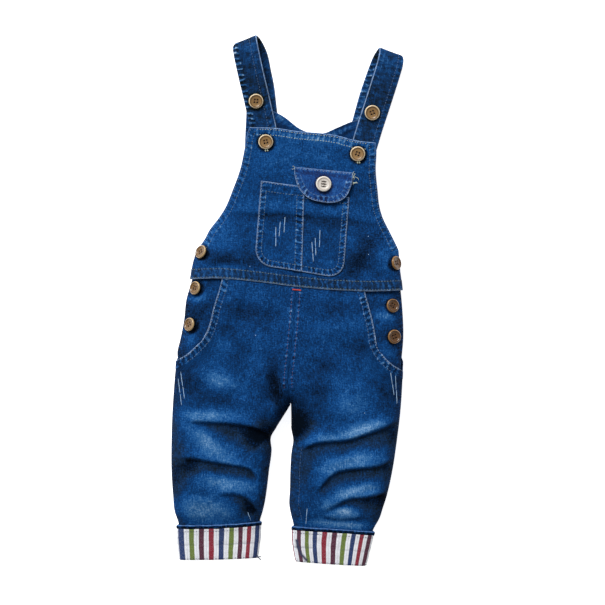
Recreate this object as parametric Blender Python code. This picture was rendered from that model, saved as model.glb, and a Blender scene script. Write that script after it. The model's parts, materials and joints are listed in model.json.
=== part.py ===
"""Kids' dungarees in washed denim, lying flat on their back with the front up.

Lengths are in millimetres in this file and become metres where a mesh is made.  +Z is up, +Y runs from the
hems to the shoulder straps, and "right" is the wearer's right, which lies at -X.  The origin is under the
centre of the garment's box, on the surface that it lies on.

Each cloth piece is a wall: a grid of outer points, worked out from tables of sizes, and the same points
moved in along the cloth's normals.  A piece that lies on another is made from the other's points, moved out.
"""

import math
from collections import namedtuple

import bpy
import numpy as np
from mathutils import Matrix, Vector

MM = 0.001
CLOTH = 1.2  # one layer of denim
DOUBLE_CLOTH = 2.2  # the strap's two layers, sewn together
CUFF_CLOTH = 2.0  # leg hem and striped facing, turned up together
GAP = 0.3  # between pieces that touch
HALF_GAP = GAP / 2

CROTCH_X, CROTCH_Y = 3.5, -122.7
ARMHOLE_Y = 59.0  # the lowest point of the armholes, where the buttoned side opening starts
BACK_ROUND = 12.0  # how far in from a side seam the back lies flat
UNDER_STRAPS = 2.5  # how high the back lies over the straps' roots
STANDS_UP = 5.0  # a slope from which cloth counts as upright
FRONT_COLUMNS, BACK_COLUMNS = 18, 14  # across a leg, and its cuff
SIDE_LAP = 5.0  # the front laps this far down over the back along the side opening
LAP_INSET = 4.6  # the back lies this far inside the lapped front
NEAR_EDGE = 0.6  # the column of points next to a lapped edge

Station = namedtuple("Station", "y x")
Section = namedtuple("Section", "y top front_edge front_round soft back_edge bottom")
Fold = namedtuple("Fold", "x0 y0 x1 y1 bow height up down")
Crest = namedtuple("Crest", "line up height down depth")
StrapSection = namedtuple("StrapSection", "x y z turn")
ButtonPlace = namedtuple("ButtonPlace", "name x y size tilt on")
StrapButton = namedtuple("StrapButton", "name rows along across size")

# Outlines seen from above, from the hem to the armhole.
SIDE_RIGHT = [
    Station(-305.0, -126.8),
    Station(-283.0, -128.6),
    Station(-262.0, -129.6),
    Station(-251.0, -133.4),
    Station(-230.0, -135.7),
    Station(-200.6, -137.5),
    Station(-165.2, -137.5),
    Station(-129.8, -136.3),
    Station(-94.4, -133.9),
    Station(-72.0, -132.3),
    Station(-61.4, -132.8),
    Station(-47.2, -129.6),
    Station(-23.6, -125.0),
    Station(0.0, -122.4),
    Station(23.6, -115.8),
    Station(47.2, -111.5),
    Station(ARMHOLE_Y, -107.0),
]
SIDE_LEFT = [
    Station(-312.0, 90.5),
    Station(-292.0, 95.2),
    Station(-270.0, 101.2),
    Station(-257.0, 108.3),
    Station(-246.0, 111.8),
    Station(-236.0, 115.1),
    Station(-200.6, 123.3),
    Station(-165.2, 128.6),
    Station(-129.8, 132.8),
    Station(-94.4, 135.1),
    Station(-70.8, 136.2),
    Station(-44.8, 138.4),
    Station(-5.9, 136.9),
    Station(21.2, 134.2),
    Station(41.3, 131.8),
    Station(ARMHOLE_Y, 130.2),
]
INSEAM_RIGHT = [
    Station(-305.0, -37.6),
    Station(-283.0, -35.2),
    Station(-260.0, -33.4),
    Station(-250.0, -30.4),
    Station(-242.0, -28.4),
    Station(-224.2, -25.4),
    Station(-200.6, -22.6),
    Station(-177.0, -19.6),
    Station(-161.0, -20.2),
    Station(-149.0, -13.0),
    Station(-135.0, -4.2),
    Station(CROTCH_Y, CROTCH_X),
]
INSEAM_LEFT = [
    Station(-312.0, 12.0),
    Station(-290.0, 8.0),
    Station(-263.0, 6.4),
    Station(-252.0, 3.6),
    Station(-242.0, 1.8),
    Station(-224.0, 2.5),
    Station(-200.6, 3.0),
    Station(-177.0, 4.7),
    Station(-167.0, 6.4),
    Station(-150.0, 4.0),
    Station(-136.0, 3.8),
    Station(CROTCH_Y, CROTCH_X),
]
ARMHOLE_RIGHT = [
    Station(ARMHOLE_Y, -107.0),
    Station(70.8, -98.5),
    Station(82.6, -92.2),
    Station(94.4, -83.2),
    Station(106.2, -75.2),
    Station(129.8, -65.0),
    Station(153.4, -56.4),
    Station(177.0, -51.2),
    Station(193.5, -48.4),
    Station(204.0, -45.2),
]
ARMHOLE_LEFT = [
    Station(ARMHOLE_Y, 130.2),
    Station(70.8, 124.5),
    Station(82.6, 118.6),
    Station(94.4, 112.7),
    Station(106.2, 108.6),
    Station(129.8, 105.4),
    Station(153.4, 103.3),
    Station(177.0, 104.0),
    Station(186.0, 103.3),
]
BACK_ARMHOLE_RIGHT = [
    Station(ARMHOLE_Y, -102.4),
    Station(70.8, -94.0),
    Station(94.4, -79.0),
    Station(118.0, -66.0),
    Station(141.6, -57.0),
    Station(165.2, -51.4),
    Station(188.8, -50.6),
    Station(226.0, -48.9),
]
BACK_ARMHOLE_LEFT = [
    Station(ARMHOLE_Y, 125.6),
    Station(70.8, 119.0),
    Station(94.4, 107.0),
    Station(118.0, 102.0),
    Station(141.6, 99.5),
    Station(165.2, 99.5),
    Station(188.8, 102.5),
    Station(216.0, 108.0),
]
# The curved openings of the hip pockets, from their foot on the side seam to the waist.
POCKET_MOUTH_RIGHT = [
    Station(-72.0, -132.3),
    Station(-70.0, -129.0),
    Station(-64.7, -119.5),
    Station(-55.2, -108.7),
    Station(-43.0, -97.8),
    Station(-26.8, -91.1),
    Station(-9.1, -87.0),
    Station(8.5, -81.5),
    Station(36.0, -74.0),
]
POCKET_MOUTH_LEFT = [
    Station(-84.0, 135.6),
    Station(-82.2, 132.8),
    Station(-75.5, 121.9),
    Station(-64.7, 111.2),
    Station(-51.1, 103.6),
    Station(-37.5, 101.6),
    Station(-13.2, 96.2),
    Station(9.2, 90.2),
    Station(24.0, 86.5),
]
# The seam that joins the legs to the bib, and the edges that slope across the garment, as y at each x.
WAIST_LINE = [
    Station(30.7, -114.0),
    Station(31.8, -84.0),
    Station(27.5, -33.6),
    Station(22.2, 8.5),
    Station(18.0, 59.0),
    Station(16.6, 95.0),
    Station(17.8, 134.0),
]
BIB_TOP = [
    Station(203.6, -48.0),
    Station(202.5, -13.6),
    Station(198.7, 12.7),
    Station(196.6, 38.0),
    Station(193.5, 59.1),
    Station(188.8, 76.0),
    Station(185.2, 104.0),
]
NECKLINE = [
    Station(225.5, -49.5),
    Station(221.5, -14.0),
    Station(215.9, -4.1),
    Station(203.0, 12.7),
    Station(197.0, 27.5),
    Station(197.0, 42.2),
    Station(204.0, 59.1),
    Station(211.2, 76.7),
    Station(216.0, 108.0),
]
# The centre front seam, from the crotch to the waist.
CENTRE_SEAM = [
    Station(CROTCH_Y, 3.0),
    Station(-105.0, 0.4),
    Station(-60.0, 3.6),
    Station(-20.0, 7.4),
    Station(22.0, 10.6),
]
WAISTBAND_WIDTH = 12.6

# Heights of the cloth from hem to bib top: the front's middle, its side edge and how far its side rounds,
# how flat that edge lies (0 turned right down, 1 a free edge), and the back's side edge and middle.
SECTIONS = [
    Section(-312.0, 14.5, 8.6, 13.0, 0.0, 8.1, 2.3),
    Section(-262.0, 17.5, 9.4, 17.0, 0.0, 8.9, 2.3),
    Section(-250.0, 22.5, 10.0, 22.0, 0.0, 9.4, 2.3),
    Section(-236.0, 27.0, 10.5, 25.0, 0.0, 9.9, 0.7),
    Section(-220.0, 29.5, 10.8, 27.0, 0.0, 10.2, 0.0),
    Section(-190.0, 31.0, 11.0, 28.0, 0.0, 10.4, 0.0),
    Section(-130.0, 32.0, 11.0, 28.0, 0.0, 10.4, 0.0),
    Section(-60.0, 33.0, 11.0, 27.0, 0.0, 10.4, 0.0),
    Section(0.0, 31.0, 11.0, 25.0, 0.0, 10.4, 0.0),
    Section(25.0, 29.0, 11.0, 23.0, 0.0, 10.4, 0.0),
    Section(50.0, 26.0, 11.0, 21.0, 0.1, 9.5, 0.0),
    Section(75.0, 22.0, 12.0, 19.0, 0.6, 4.5, 0.0),
    Section(100.0, 18.5, 12.5, 16.0, 1.0, 1.0, 0.0),
    Section(130.0, 16.0, 12.5, 14.0, 1.0, 0.2, 0.0),
    Section(160.0, 13.5, 12.0, 12.0, 1.0, 1.3, 1.2),
    Section(184.0, 12.0, 11.7, 10.0, 1.0, 2.6, 2.5),
    Section(206.0, 11.4, 11.2, 10.0, 1.0, 2.6, 2.5),
    Section(228.0, 11.4, 11.2, 10.0, 1.0, 2.6, 2.5),
]

# Ridges (height above 0) and troughs (below 0) of the front, from (x0, y0) to (x1, y1): how far the line
# bows sideways in its middle, its height, and how far its slopes reach up the garment and down it.
FOLDS = [
    # crotch, thighs and hips
    Fold(-106.0, -78.0, -66.0, -108.0, 0.0, 2.4, 15.0, 13.0),
    Fold(88.0, -98.0, 58.0, -138.0, 0.0, 2.4, 13.0, 14.0),
    Fold(10.0, -124.0, 36.0, -156.0, 0.0, -5.6, 10.0, 10.0),
    Fold(-14.0, -82.0, -22.0, -126.0, 0.0, -4.0, 8.0, 8.0),
    Fold(-62.0, -13.0, -4.0, -22.0, 2.0, -2.2, 10.0, 12.0),
    Fold(40.0, -58.0, 92.0, -62.0, 2.0, -2.2, 10.0, 12.0),
    Fold(-104.0, -18.0, -124.0, -30.0, 0.0, -2.0, 8.0, 8.0),
    # the crease across the bib
    Fold(-74.0, 108.0, 108.0, 99.0, 2.0, 1.3, 18.0, 14.0),
    Fold(-74.0, 92.0, 108.0, 84.0, 2.0, -1.3, 14.0, 18.0),
]
# The folds that break: each along the line where its crest drops, from -X to +X.  Each pair is a size at the
# line's start and at its end: how far the ridge reaches up the garment and its height, and how far the hollow
# below the break reaches down and its depth.
CRESTS = [
    # right leg
    Crest(
        [(-134.5, -140.4), (-114.5, -142.8), (-93.2, -144.0), (-72.0, -145.1), (-43.1, -149.0),
         (-24.8, -158.1), (-18.9, -164.0)],
        (12.0, 9.0), (3.0, 1.6), (5.0, 27.0), (1.6, 3.4),
    ),
    Crest(
        [(-132.2, -185.3), (-119.2, -185.9), (-107.4, -187.1), (-90.9, -190.0), (-77.3, -192.3),
         (-61.4, -194.7), (-50.7, -196.6), (-42.5, -200.6), (-36.6, -210.0), (-35.4, -219.5)],
        (14.0, 7.0), (2.6, 1.6), (15.0, 11.0), (2.8, 2.2),
    ),
    Crest(
        [(-97.9, -227.7), (-77.3, -228.9), (-66.1, -228.2), (-56.6, -229.5), (-48.4, -233.3), (-38.9, -243.8),
         (-34.2, -253.7)],
        (14.0, 7.0), (2.2, 1.4), (5.0, 20.0), (1.0, 3.0),
    ),
    # left leg
    Crest(
        [(10.6, -179.4), (17.7, -175.8), (31.4, -169.2), (49.1, -166.4), (68.1, -165.2), (85.9, -159.8),
         (106.2, -152.8), (129.8, -142.8)],
        (9.0, 14.0), (2.4, 3.0), (13.0, 15.0), (2.4, 2.8),
    ),
    Crest(
        [(30.7, -230.1), (42.2, -215.6), (51.8, -206.0), (64.1, -200.6), (85.8, -197.9), (106.2, -194.7),
         (126.3, -185.3)],
        (11.0, 15.0), (2.0, 2.8), (13.0, 13.0), (2.4, 2.8),
    ),
    Crest(
        [(40.1, -252.5), (49.1, -245.4), (64.1, -237.2), (74.9, -233.3), (91.3, -231.9), (110.3, -227.7),
         (119.2, -223.0)],
        (7.0, 12.0), (1.8, 2.4), (4.0, 21.0), (1.0, 2.8),
    ),
    Crest(
        [(40.1, -253.7), (53.1, -257.8), (64.9, -258.4), (77.9, -257.2), (89.7, -254.3)],
        (8.0, 8.0), (1.2, 1.2), (3.0, 3.0), (0.8, 0.8),
    ),
]
FOLD_EDGE = 14.0  # folds fade out this near to a side edge
BREAK = 5.0  # half the width over which a crest drops into the hollow under it

# The straps' middle lines from the end under the bib, up over the fold, and down to the root under the back.
# turn is the angle of the strap's width from +X, in degrees.
STRAP_WIDTH = 29.4
STRAP_RIGHT = [
    StrapSection(-22.6, 166.0, 6.5, 13.0),
    StrapSection(-25.4, 180.0, 6.5, 13.0),
    StrapSection(-29.0, 203.0, 6.9, 13.0),
    StrapSection(-33.6, 223.0, 9.0, 13.0),
    StrapSection(-38.0, 242.5, 11.4, 13.0),
    StrapSection(-42.9, 263.0, 13.8, 13.5),
    StrapSection(-47.4, 283.2, 16.2, 15.0),
    StrapSection(-50.0, 296.5, 17.2, 18.5),
    StrapSection(-51.0, 303.5, 14.6, 21.0),
    StrapSection(-50.8, 306.2, 9.4, 22.0),
    StrapSection(-47.0, 302.8, 3.6, 23.0),
    StrapSection(-42.4, 295.0, 1.5, 22.0),
    StrapSection(-38.4, 285.0, 1.1, 18.0),
    StrapSection(-35.4, 270.0, 1.1, 12.0),
    StrapSection(-31.6, 251.0, 1.1, 8.5),
    StrapSection(-28.4, 224.0, 1.1, 7.0),
    StrapSection(-25.6, 200.5, 1.1, 7.0),
]
STRAP_LEFT = [
    StrapSection(82.0, 154.5, 6.5, -16.6),
    StrapSection(86.6, 170.0, 6.5, -16.6),
    StrapSection(91.6, 187.0, 6.9, -16.6),
    StrapSection(97.5, 206.5, 9.0, -16.6),
    StrapSection(104.6, 228.0, 11.4, -16.6),
    StrapSection(111.4, 249.2, 13.8, -16.6),
    StrapSection(117.6, 269.0, 16.0, -17.5),
    StrapSection(121.0, 281.5, 17.0, -19.0),
    StrapSection(122.0, 289.0, 14.4, -20.0),
    StrapSection(121.6, 292.0, 9.4, -20.5),
    StrapSection(118.6, 288.4, 3.6, -20.5),
    StrapSection(114.4, 281.0, 1.5, -20.5),
    StrapSection(110.4, 271.0, 1.1, -20.0),
    StrapSection(105.4, 257.0, 1.1, -18.5),
    StrapSection(99.0, 238.0, 1.1, -18.0),
    StrapSection(90.4, 207.0, 1.1, -18.0),
    StrapSection(84.6, 186.5, 1.1, -18.0),
]

# The bib pocket: its top corner, the angles of its width below +X and of its depth from -Y, and its sizes.
POCKET_CORNER_X, POCKET_CORNER_Y = -31.5, 140.1
POCKET_TILT, POCKET_LEAN = 8.0, 4.5
POCKET_WIDTH, POCKET_ROUND = 105.0, 19.0
POCKET_DEPTH, POCKET_DEEPER = 98.2, 2.4  # at its right side, and how much deeper at its left one
POCKET_LAP_FROM, POCKET_LAP_TO = 42.5, 51.0  # at its top, the right half laps over the left one between these
POCKET_LAP_DRIFT = 5.0  # how far both lie further to the left at its foot
POCKET_LEFT_TOP = 5.0  # the flapped half starts this much lower
FLAP_CORNER_X, FLAP_CORNER_Y = 7.8, 156.6
FLAP_TILT, FLAP_WIDTH, FLAP_DEPTH = 5.8, 68.6, 38.7
FLAP_LIFT = 4.2  # how far the flap stands above the bib where it lies on the pocket
FLAP_LIFT_OVER = 16.0

# A button's turned outline, as shares of its radius and of its height, from its back to its dish.
BUTTON_OUTLINE = [(0.90, 0.0), (1.0, 0.40), (0.93, 1.0), (0.74, 1.0), (0.64, 0.66)]
BUTTON_HEIGHT, BUTTON_SIDES = 3.2, 16
BUTTON_HOLE_RADIUS, BUTTON_HOLE_OUT, HOLE_SIDES = 1.0, 2.4, 5
# Where the buttons sit, their diameters, how far each leans over its side edge in degrees, and what carries it.
BUTTONS = [
    ButtonPlace("button_bib_right", -26.3, 186.4, 17.4, 0.0, "front"),
    ButtonPlace("button_bib_left", 82.2, 172.2, 17.6, 0.0, "front"),
    ButtonPlace("button_armhole_right", -101.2, 56.0, 16.0, -9.0, "front"),
    ButtonPlace("button_armhole_left", 125.8, 43.3, 16.4, 12.0, "front"),
    ButtonPlace("button_hip_upper_right", -107.4, 13.7, 15.8, -12.0, "facing"),
    ButtonPlace("button_hip_lower_right", -113.3, -29.3, 15.8, -12.0, "facing"),
    ButtonPlace("button_hip_upper_left", 122.2, -6.7, 16.0, 3.0, "facing"),
    ButtonPlace("button_hip_lower_left", 124.2, -43.0, 16.4, 2.0, "facing"),
    ButtonPlace("button_flap", 41.8, 136.2, 18.2, 0.0, "flap"),
]
STRAP_BUTTONS = [
    StrapButton("button_strap_right", STRAP_RIGHT, 3.63, -0.10, 17.2),
    StrapButton("button_strap_left", STRAP_LEFT, 3.65, -0.18, 17.8),
]


def column(rows, name):
    return np.array([getattr(row, name) for row in rows], float)


def smooth(at, value, where):
    """A cubic through (at, value) with the slopes of its neighbours; at rises."""
    slope = np.gradient(value, at)
    where = np.clip(np.asarray(where, float), at[0], at[-1])
    i = np.clip(np.searchsorted(at, where) - 1, 0, len(at) - 2)
    step = at[i + 1] - at[i]
    t = (where - at[i]) / step
    return (
        (1 + 2 * t) * (1 - t) ** 2 * value[i]
        + t * (1 - t) ** 2 * step * slope[i]
        + t * t * (3 - 2 * t) * value[i + 1]
        + t * t * (t - 1) * step * slope[i + 1]
    )


def x_along(rows, y):
    return smooth(column(rows, "y"), column(rows, "x"), y)


def y_across(rows, x):
    return smooth(column(rows, "x"), column(rows, "y"), x)


def height_of(name, y):
    return smooth(column(SECTIONS, "y"), column(SECTIONS, name), y)


def ease(t):
    """0 below 0, 1 above 1, and smooth between."""
    t = np.clip(t, 0, 1)
    return t * t * (3 - 2 * t)


def centre_seam(y):
    return x_along(CENTRE_SEAM, y)


def outer_right(y):
    return np.where(y > ARMHOLE_Y, x_along(ARMHOLE_RIGHT, y), x_along(SIDE_RIGHT, y))


def outer_left(y):
    return np.where(y > ARMHOLE_Y, x_along(ARMHOLE_LEFT, y), x_along(SIDE_LEFT, y))


def lap_depth(y):
    """How far the front's side edge reaches down over the back, along the buttoned opening."""
    return SIDE_LAP * ease((y + 54) / 12) * ease((ARMHOLE_Y - 1 - y) / 10)


def lap_inset(y):
    return LAP_INSET * ease((y + 74) / 12)


def back_right(y):
    side = x_along(SIDE_RIGHT, y) + lap_inset(y)
    return np.where(y > ARMHOLE_Y, x_along(BACK_ARMHOLE_RIGHT, y), side)


def back_left(y):
    side = x_along(SIDE_LEFT, y) - lap_inset(y)
    return np.where(y > ARMHOLE_Y, x_along(BACK_ARMHOLE_LEFT, y), side)


def squarely(outline, y):
    """The cosine of an outline's angle from +Y, which turns a distance along X into one from the edge."""
    return 1 / np.hypot(1, (outline(y + 5) - outline(y - 5)) / 10)


def edge_distance(x, y, right, left):
    """How far a point lies in from the nearest side edge, inseam or crotch."""

    def inseam_right(at):
        return x_along(INSEAM_RIGHT, at)

    def inseam_left(at):
        return x_along(INSEAM_LEFT, at)

    to_right = (x - right(y)) * squarely(right, y)
    to_left = (left(y) - x) * squarely(left, y)
    below = ease((CROTCH_Y - y) / 25)
    on_right = x < (inseam_right(y) + inseam_left(y)) / 2
    to_inseam = np.where(
        on_right,
        (inseam_right(y) - x) * (1 + below * (squarely(inseam_right, y) - 1)),
        (x - inseam_left(y)) * (1 + below * (squarely(inseam_left, y) - 1)),
    )
    to_crotch = np.hypot(x - CROTCH_X, y - CROTCH_Y)
    inner = np.where(y > CROTCH_Y, to_crotch, to_inseam)
    return np.maximum(np.minimum(np.minimum(to_right, to_left), inner), 0)


def rounding(distance, radius, soft):
    """0 at the edge and 1 from radius inwards: a quarter circle, or a gentle droop where soft is 1."""
    left = 1 - np.clip(distance / radius, 0, 1)
    return (1 - soft) * np.sqrt(1 - left**2) + soft * (1 - left**2)


def to_line(x, y, line):
    """Each point's distance from a line in plan, the share of the line's length at its nearest place, and 1 if
    the point lies to the left of the line's run, or -1."""
    start, run = line[:-1], np.diff(line, axis=0)
    lengths = np.linalg.norm(run, axis=-1)
    offset = np.stack([x, y], axis=-1)[..., None, :] - start
    t = np.clip(np.sum(offset * run, axis=-1) / lengths**2, 0, 1)
    gaps = np.linalg.norm(offset - t[..., None] * run, axis=-1)
    nearest = np.argmin(gaps, axis=-1)[..., None]
    share = (np.insert(np.cumsum(lengths), 0, 0)[:-1] + t * lengths) / lengths.sum()
    left = np.sign(run[:, 0] * offset[..., 1] - run[:, 1] * offset[..., 0])
    return [np.take_along_axis(values, nearest, -1)[..., 0] for values in (gaps, share, left)]


def crest_relief(x, y):
    """The sum of the breaking folds: above each line a ridge, under it a hollow, joined over the break."""
    total = np.zeros_like(x)
    for crest in CRESTS:
        line = np.array(crest.line)
        at = np.arange(len(line), dtype=float)
        fine = np.linspace(0, len(line) - 1, 4 * len(line))
        away, share, left = to_line(x, y, np.stack([smooth(at, part, fine) for part in line.T], axis=-1))
        up, height, down, depth = (
            start + (end - start) * share for start, end in (crest.up, crest.height, crest.down, crest.depth)
        )
        ridge, hollow = height * np.exp(-((away / up) ** 2)), -depth * np.exp(-((away / down) ** 2))
        side = ease((away * left + BREAK) / (2 * BREAK))
        total += ease(share / 0.16) * ease((1 - share) / 0.16) * (hollow + (ridge - hollow) * side)
    return total


def fold_relief(x, y):
    """The sum of all ridges and troughs: a bell across each line, which fades towards both its ends."""
    total = np.zeros_like(x)
    for fold in FOLDS:
        run = np.array([fold.x1 - fold.x0, fold.y1 - fold.y0])
        length = np.hypot(*run)
        along = ((x - fold.x0) * run[0] + (y - fold.y0) * run[1]) / length**2
        sign = 1 if run[0] > 0 else -1
        above = sign * ((y - fold.y0) * run[0] - (x - fold.x0) * run[1]) / length
        above = above - fold.bow * 4 * along * (1 - along)
        reach = np.where(above > 0, fold.up, fold.down)
        taper = ease((along + 0.12) / 0.3) * ease((1.12 - along) / 0.3)
        total += fold.height * taper * np.exp(-((above / reach) ** 2))
    return total


def front_height(x, y):
    """z of the front's outer face."""
    inwards = edge_distance(x, y, outer_right, outer_left)
    top, edge = height_of("top", y), height_of("front_edge", y) + HALF_GAP
    shape = rounding(inwards, height_of("front_round", y), np.clip(height_of("soft", y), 0, 1))
    relief = fold_relief(x, y) + crest_relief(x, y)
    return edge + (top - edge) * shape + relief * ease(inwards / FOLD_EDGE)


def back_height(x, y):
    """z of the back's outer face, which rests on the surface and turns up at its edges."""
    inwards = edge_distance(x, y, back_right, back_left)
    bottom = np.clip(height_of("bottom", y), 0, UNDER_STRAPS)
    edge = height_of("back_edge", y)
    return edge + (bottom - edge) * rounding(inwards, BACK_ROUND, ease((y - 50) / 40))


def out_of(height, x, y, side):
    """Unit normals of a height function, for the face whose z points along side; level where it stands up."""
    step = 0.04
    east = (height(x + step, y) - height(x - step, y)) / (2 * step)
    north = (height(x, y + step) - height(x, y - step)) / (2 * step)
    level = np.where(np.hypot(east, north) > STANDS_UP, 0.0, 1.0)
    return unit(np.stack([-east, -north, level], axis=-1)) * side


def unit(vectors):
    return vectors / np.linalg.norm(vectors, axis=-1, keepdims=True)


def plan_grid(x_from, x_to, y_from, y_to, columns, rows, level_y=None, level_rows=0):
    """x and y of a panel's points.  Columns run from x_from(y) to x_to(y), closer together at both ends.
    Each column's own ends lie on y_from(x) and y_to(x), which takes a few turns to settle.  The row numbered
    level_rows can be kept level, at level_y."""
    u = (1 - np.cos(np.linspace(0, np.pi, columns))) / 2
    ends = []
    for edge in (y_from, y_to):
        y = edge(x_from(0 * u) * (1 - u) + x_to(0 * u) * u)
        for _ in range(40):
            y = (y + edge(x_from(y) * (1 - u) + x_to(y) * u)) / 2
        ends.append(y)
    v = np.linspace(0, 1, rows)[:, None]
    y = ends[0] * (1 - v) + ends[1] * v
    if level_y is not None:
        below = np.linspace(0, 1, level_rows)[:-1, None]
        above = np.linspace(0, 1, rows - level_rows + 1)[:, None]
        y = np.concatenate(
            [ends[0] * (1 - below) + level_y * below, level_y * (1 - above) + ends[1] * above]
        )
    return x_from(y) * (1 - u) + x_to(y) * u, y


def grid_normals(points):
    """Unit normals of a grid, out of the side from which columns run to +X and rows to +Y."""
    return unit(np.cross(np.gradient(points, axis=1), np.gradient(points, axis=0)))


def cloth_wall(name, points, out, low, high, material, ring=False):
    """A closed wall that stands from low to high above a grid of points, along the directions out.  Both may
    be numbers or grids.  A ring's last column meets its first."""
    low, high = (np.asarray(value, float)[..., None] for value in (low, high))
    outer, inner = points + out * high, points + out * low
    rows, columns = points.shape[:2]
    last = columns if ring else columns - 1
    count = rows * columns
    faces = []

    def corner(row, col):
        return row * columns + col % columns

    for row in range(rows - 1):
        for col in range(last):
            quad = [corner(row, col), corner(row, col + 1), corner(row + 1, col + 1), corner(row + 1, col)]
            faces.append(quad)
            faces.append([count + i for i in reversed(quad)])
    for col in range(last):
        foot, head = (corner(0, col), corner(0, col + 1)), (corner(rows - 1, col), corner(rows - 1, col + 1))
        faces.append([foot[1], foot[0], count + foot[0], count + foot[1]])
        faces.append([head[0], head[1], count + head[1], count + head[0]])
    if not ring:
        for row in range(rows - 1):
            near, far = (corner(row, 0), corner(row + 1, 0)), (corner(row, last), corner(row + 1, last))
            faces.append([near[0], near[1], count + near[1], count + near[0]])
            faces.append([far[1], far[0], count + far[0], count + far[1]])
    return mesh_object(name, np.concatenate([outer.reshape(-1, 3), inner.reshape(-1, 3)]), faces, material)


def mesh_object(name, points, faces, material):
    mesh = bpy.data.meshes.new(name)
    mesh.from_pydata((np.asarray(points) * MM).tolist(), [], faces)
    mesh.materials.append(material)
    mesh.shade_smooth()
    mesh.set_sharp_from_angle(angle=math.radians(40))
    obj = bpy.data.objects.new(name, mesh)
    bpy.context.scene.collection.objects.link(obj)
    return obj


def plain_material(name, colour, roughness):
    material = bpy.data.materials.new(name)
    material.use_nodes = True
    shader = material.node_tree.nodes["Principled BSDF"]
    shader.inputs["Base Color"].default_value = (*colour, 1)
    shader.inputs["Roughness"].default_value = roughness
    shader.inputs["Metallic"].default_value = 0.0
    return material


def on_front(x, y):
    """Points of the front's outer face, and the directions out of it."""
    return np.stack([x, y, front_height(x, y)], axis=-1), out_of(front_height, x, y, 1)


def on_back(x, y):
    return np.stack([x, y, back_height(x, y)], axis=-1), out_of(back_height, x, y, -1)


def lap(y, sign):
    """The column of points at the end of the lap, straight down from the front's side edge."""
    x = outer_right(y) if sign < 0 else outer_left(y)
    z = height_of("front_edge", y) + HALF_GAP - lap_depth(y)
    level = np.stack([sign + 0 * y, 0 * y, 0 * y], axis=-1)
    share = ease(lap_depth(y))[:, None]
    out = unit(out_of(front_height, x, y, 1) * (1 - share) + level * share)
    return np.stack([x, y, z], axis=-1)[:, None], out[:, None]


def on_front_lapped(x, y, right, left):
    """The front's points, with one more column down each lapped side."""
    points, out = on_front(x, y)
    parts = [(points, out)]
    if right:
        parts.insert(0, lap(y[:, 0], -1))
    if left:
        parts.append(lap(y[:, -1], 1))
    return [np.concatenate(columns, axis=1) for columns in zip(*parts)]


def waist(x):
    return y_across(WAIST_LINE, x)


def make_bib(denim):
    """One sheet from the waist seam to the bib's top, with the armholes as its sides."""
    x, y = plan_grid(
        lambda y: outer_right(y) + NEAR_EDGE,
        lambda y: outer_left(y) - NEAR_EDGE,
        lambda x: waist(x) + HALF_GAP,
        lambda x: y_across(BIB_TOP, x),
        21,
        19,
    )
    cloth_wall("bib", *on_front_lapped(x, y, True, True), -CLOTH, 0, denim)


def make_waistband(denim):
    """A strip over the waist seam."""
    x, y = plan_grid(
        lambda y: outer_right(y) + NEAR_EDGE,
        lambda y: outer_left(y) - NEAR_EDGE,
        lambda x: waist(x) - WAISTBAND_WIDTH / 2,
        lambda x: waist(x) + WAISTBAND_WIDTH / 2,
        24,
        4,
    )
    cloth_wall("waistband", *on_front_lapped(x, y, True, True), GAP, GAP + CLOTH, denim)


Leg = namedtuple("Leg", "side sign outer inseam mouth cuff_top cuff_bottom")
# cuff_top and cuff_bottom are the cuff's edges, as y at each x.
LEGS = [
    Leg(
        "right",
        -1,
        SIDE_RIGHT,
        INSEAM_RIGHT,
        POCKET_MOUTH_RIGHT,
        [Station(-265.4, -131.0), Station(-264.4, -80.0), Station(-260.8, -32.0)],
        [Station(-306.2, -128.0), Station(-305.6, -80.0), Station(-303.6, -36.0)],
    ),
    Leg(
        "left",
        1,
        SIDE_LEFT,
        INSEAM_LEFT,
        POCKET_MOUTH_LEFT,
        [Station(-266.6, 4.6), Station(-269.6, 52.0), Station(-273.0, 99.0)],
        [Station(-308.0, 8.0), Station(-311.0, 50.0), Station(-313.4, 92.0)],
    ),
]
LEG_SHORT_OF_CUFF = 4.0
CUFF_EDGE_WIDTH = 4.0
CUFF_FLARE = 0.8
MOUTH_ROOM = 16.0  # between the pocket mouth's foot and the leg's highest level row
FACING_UNDER = 14.0  # how far the hip facing reaches under the leg's pocket mouth
FACING_BELOW = 4.0
FACING_GAP = 1.1  # more than at a seam, because both panels bend round the side here


def leg_inner(leg, y):
    seam = np.where(y > CROTCH_Y, centre_seam(y), x_along(leg.inseam, y))
    return seam + leg.sign * np.where(y > CROTCH_Y - 1, HALF_GAP, 0)


def leg_grid(leg, columns, rows, outer, top, level_y=None, level_rows=0, backwards=False):
    """A leg's points from its end inside the cuff to its top, with columns to +X, or to -X if backwards."""
    edges = [outer, lambda y: leg_inner(leg, y)]
    if (leg.sign > 0) != backwards:
        edges.reverse()
    hem = [Station(row.y + LEG_SHORT_OF_CUFF, row.x) for row in leg.cuff_bottom]
    return plan_grid(*edges, lambda x: y_across(hem, x), top, columns, rows, level_y, level_rows)


def below_waist(x):
    return waist(x) - HALF_GAP


def make_front_leg(leg, denim):
    """From the hem to the waist, with the pocket's mouth as the outer part of its top."""
    mouth = sorted(leg.mouth, key=lambda station: station.x)
    x, y = leg_grid(
        leg,
        FRONT_COLUMNS,
        36,
        lambda y: x_along(leg.outer, y),
        lambda x: np.minimum(y_across(mouth, x), below_waist(x)),
        leg.mouth[0].y - MOUTH_ROOM,
        27,
    )
    cloth_wall("front_leg_" + leg.side, *on_front(x, y), -CLOTH, 0, denim)


def make_back_leg(leg, denim):
    """From the centre back seam and inseam out to the side seam, flat where it rests."""
    x, y = leg_grid(
        leg, BACK_COLUMNS, 19, back_right if leg.sign < 0 else back_left, below_waist, backwards=True
    )
    cloth_wall("back_leg_" + leg.side, *on_back(x, y), -CLOTH, 0, denim)


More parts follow.
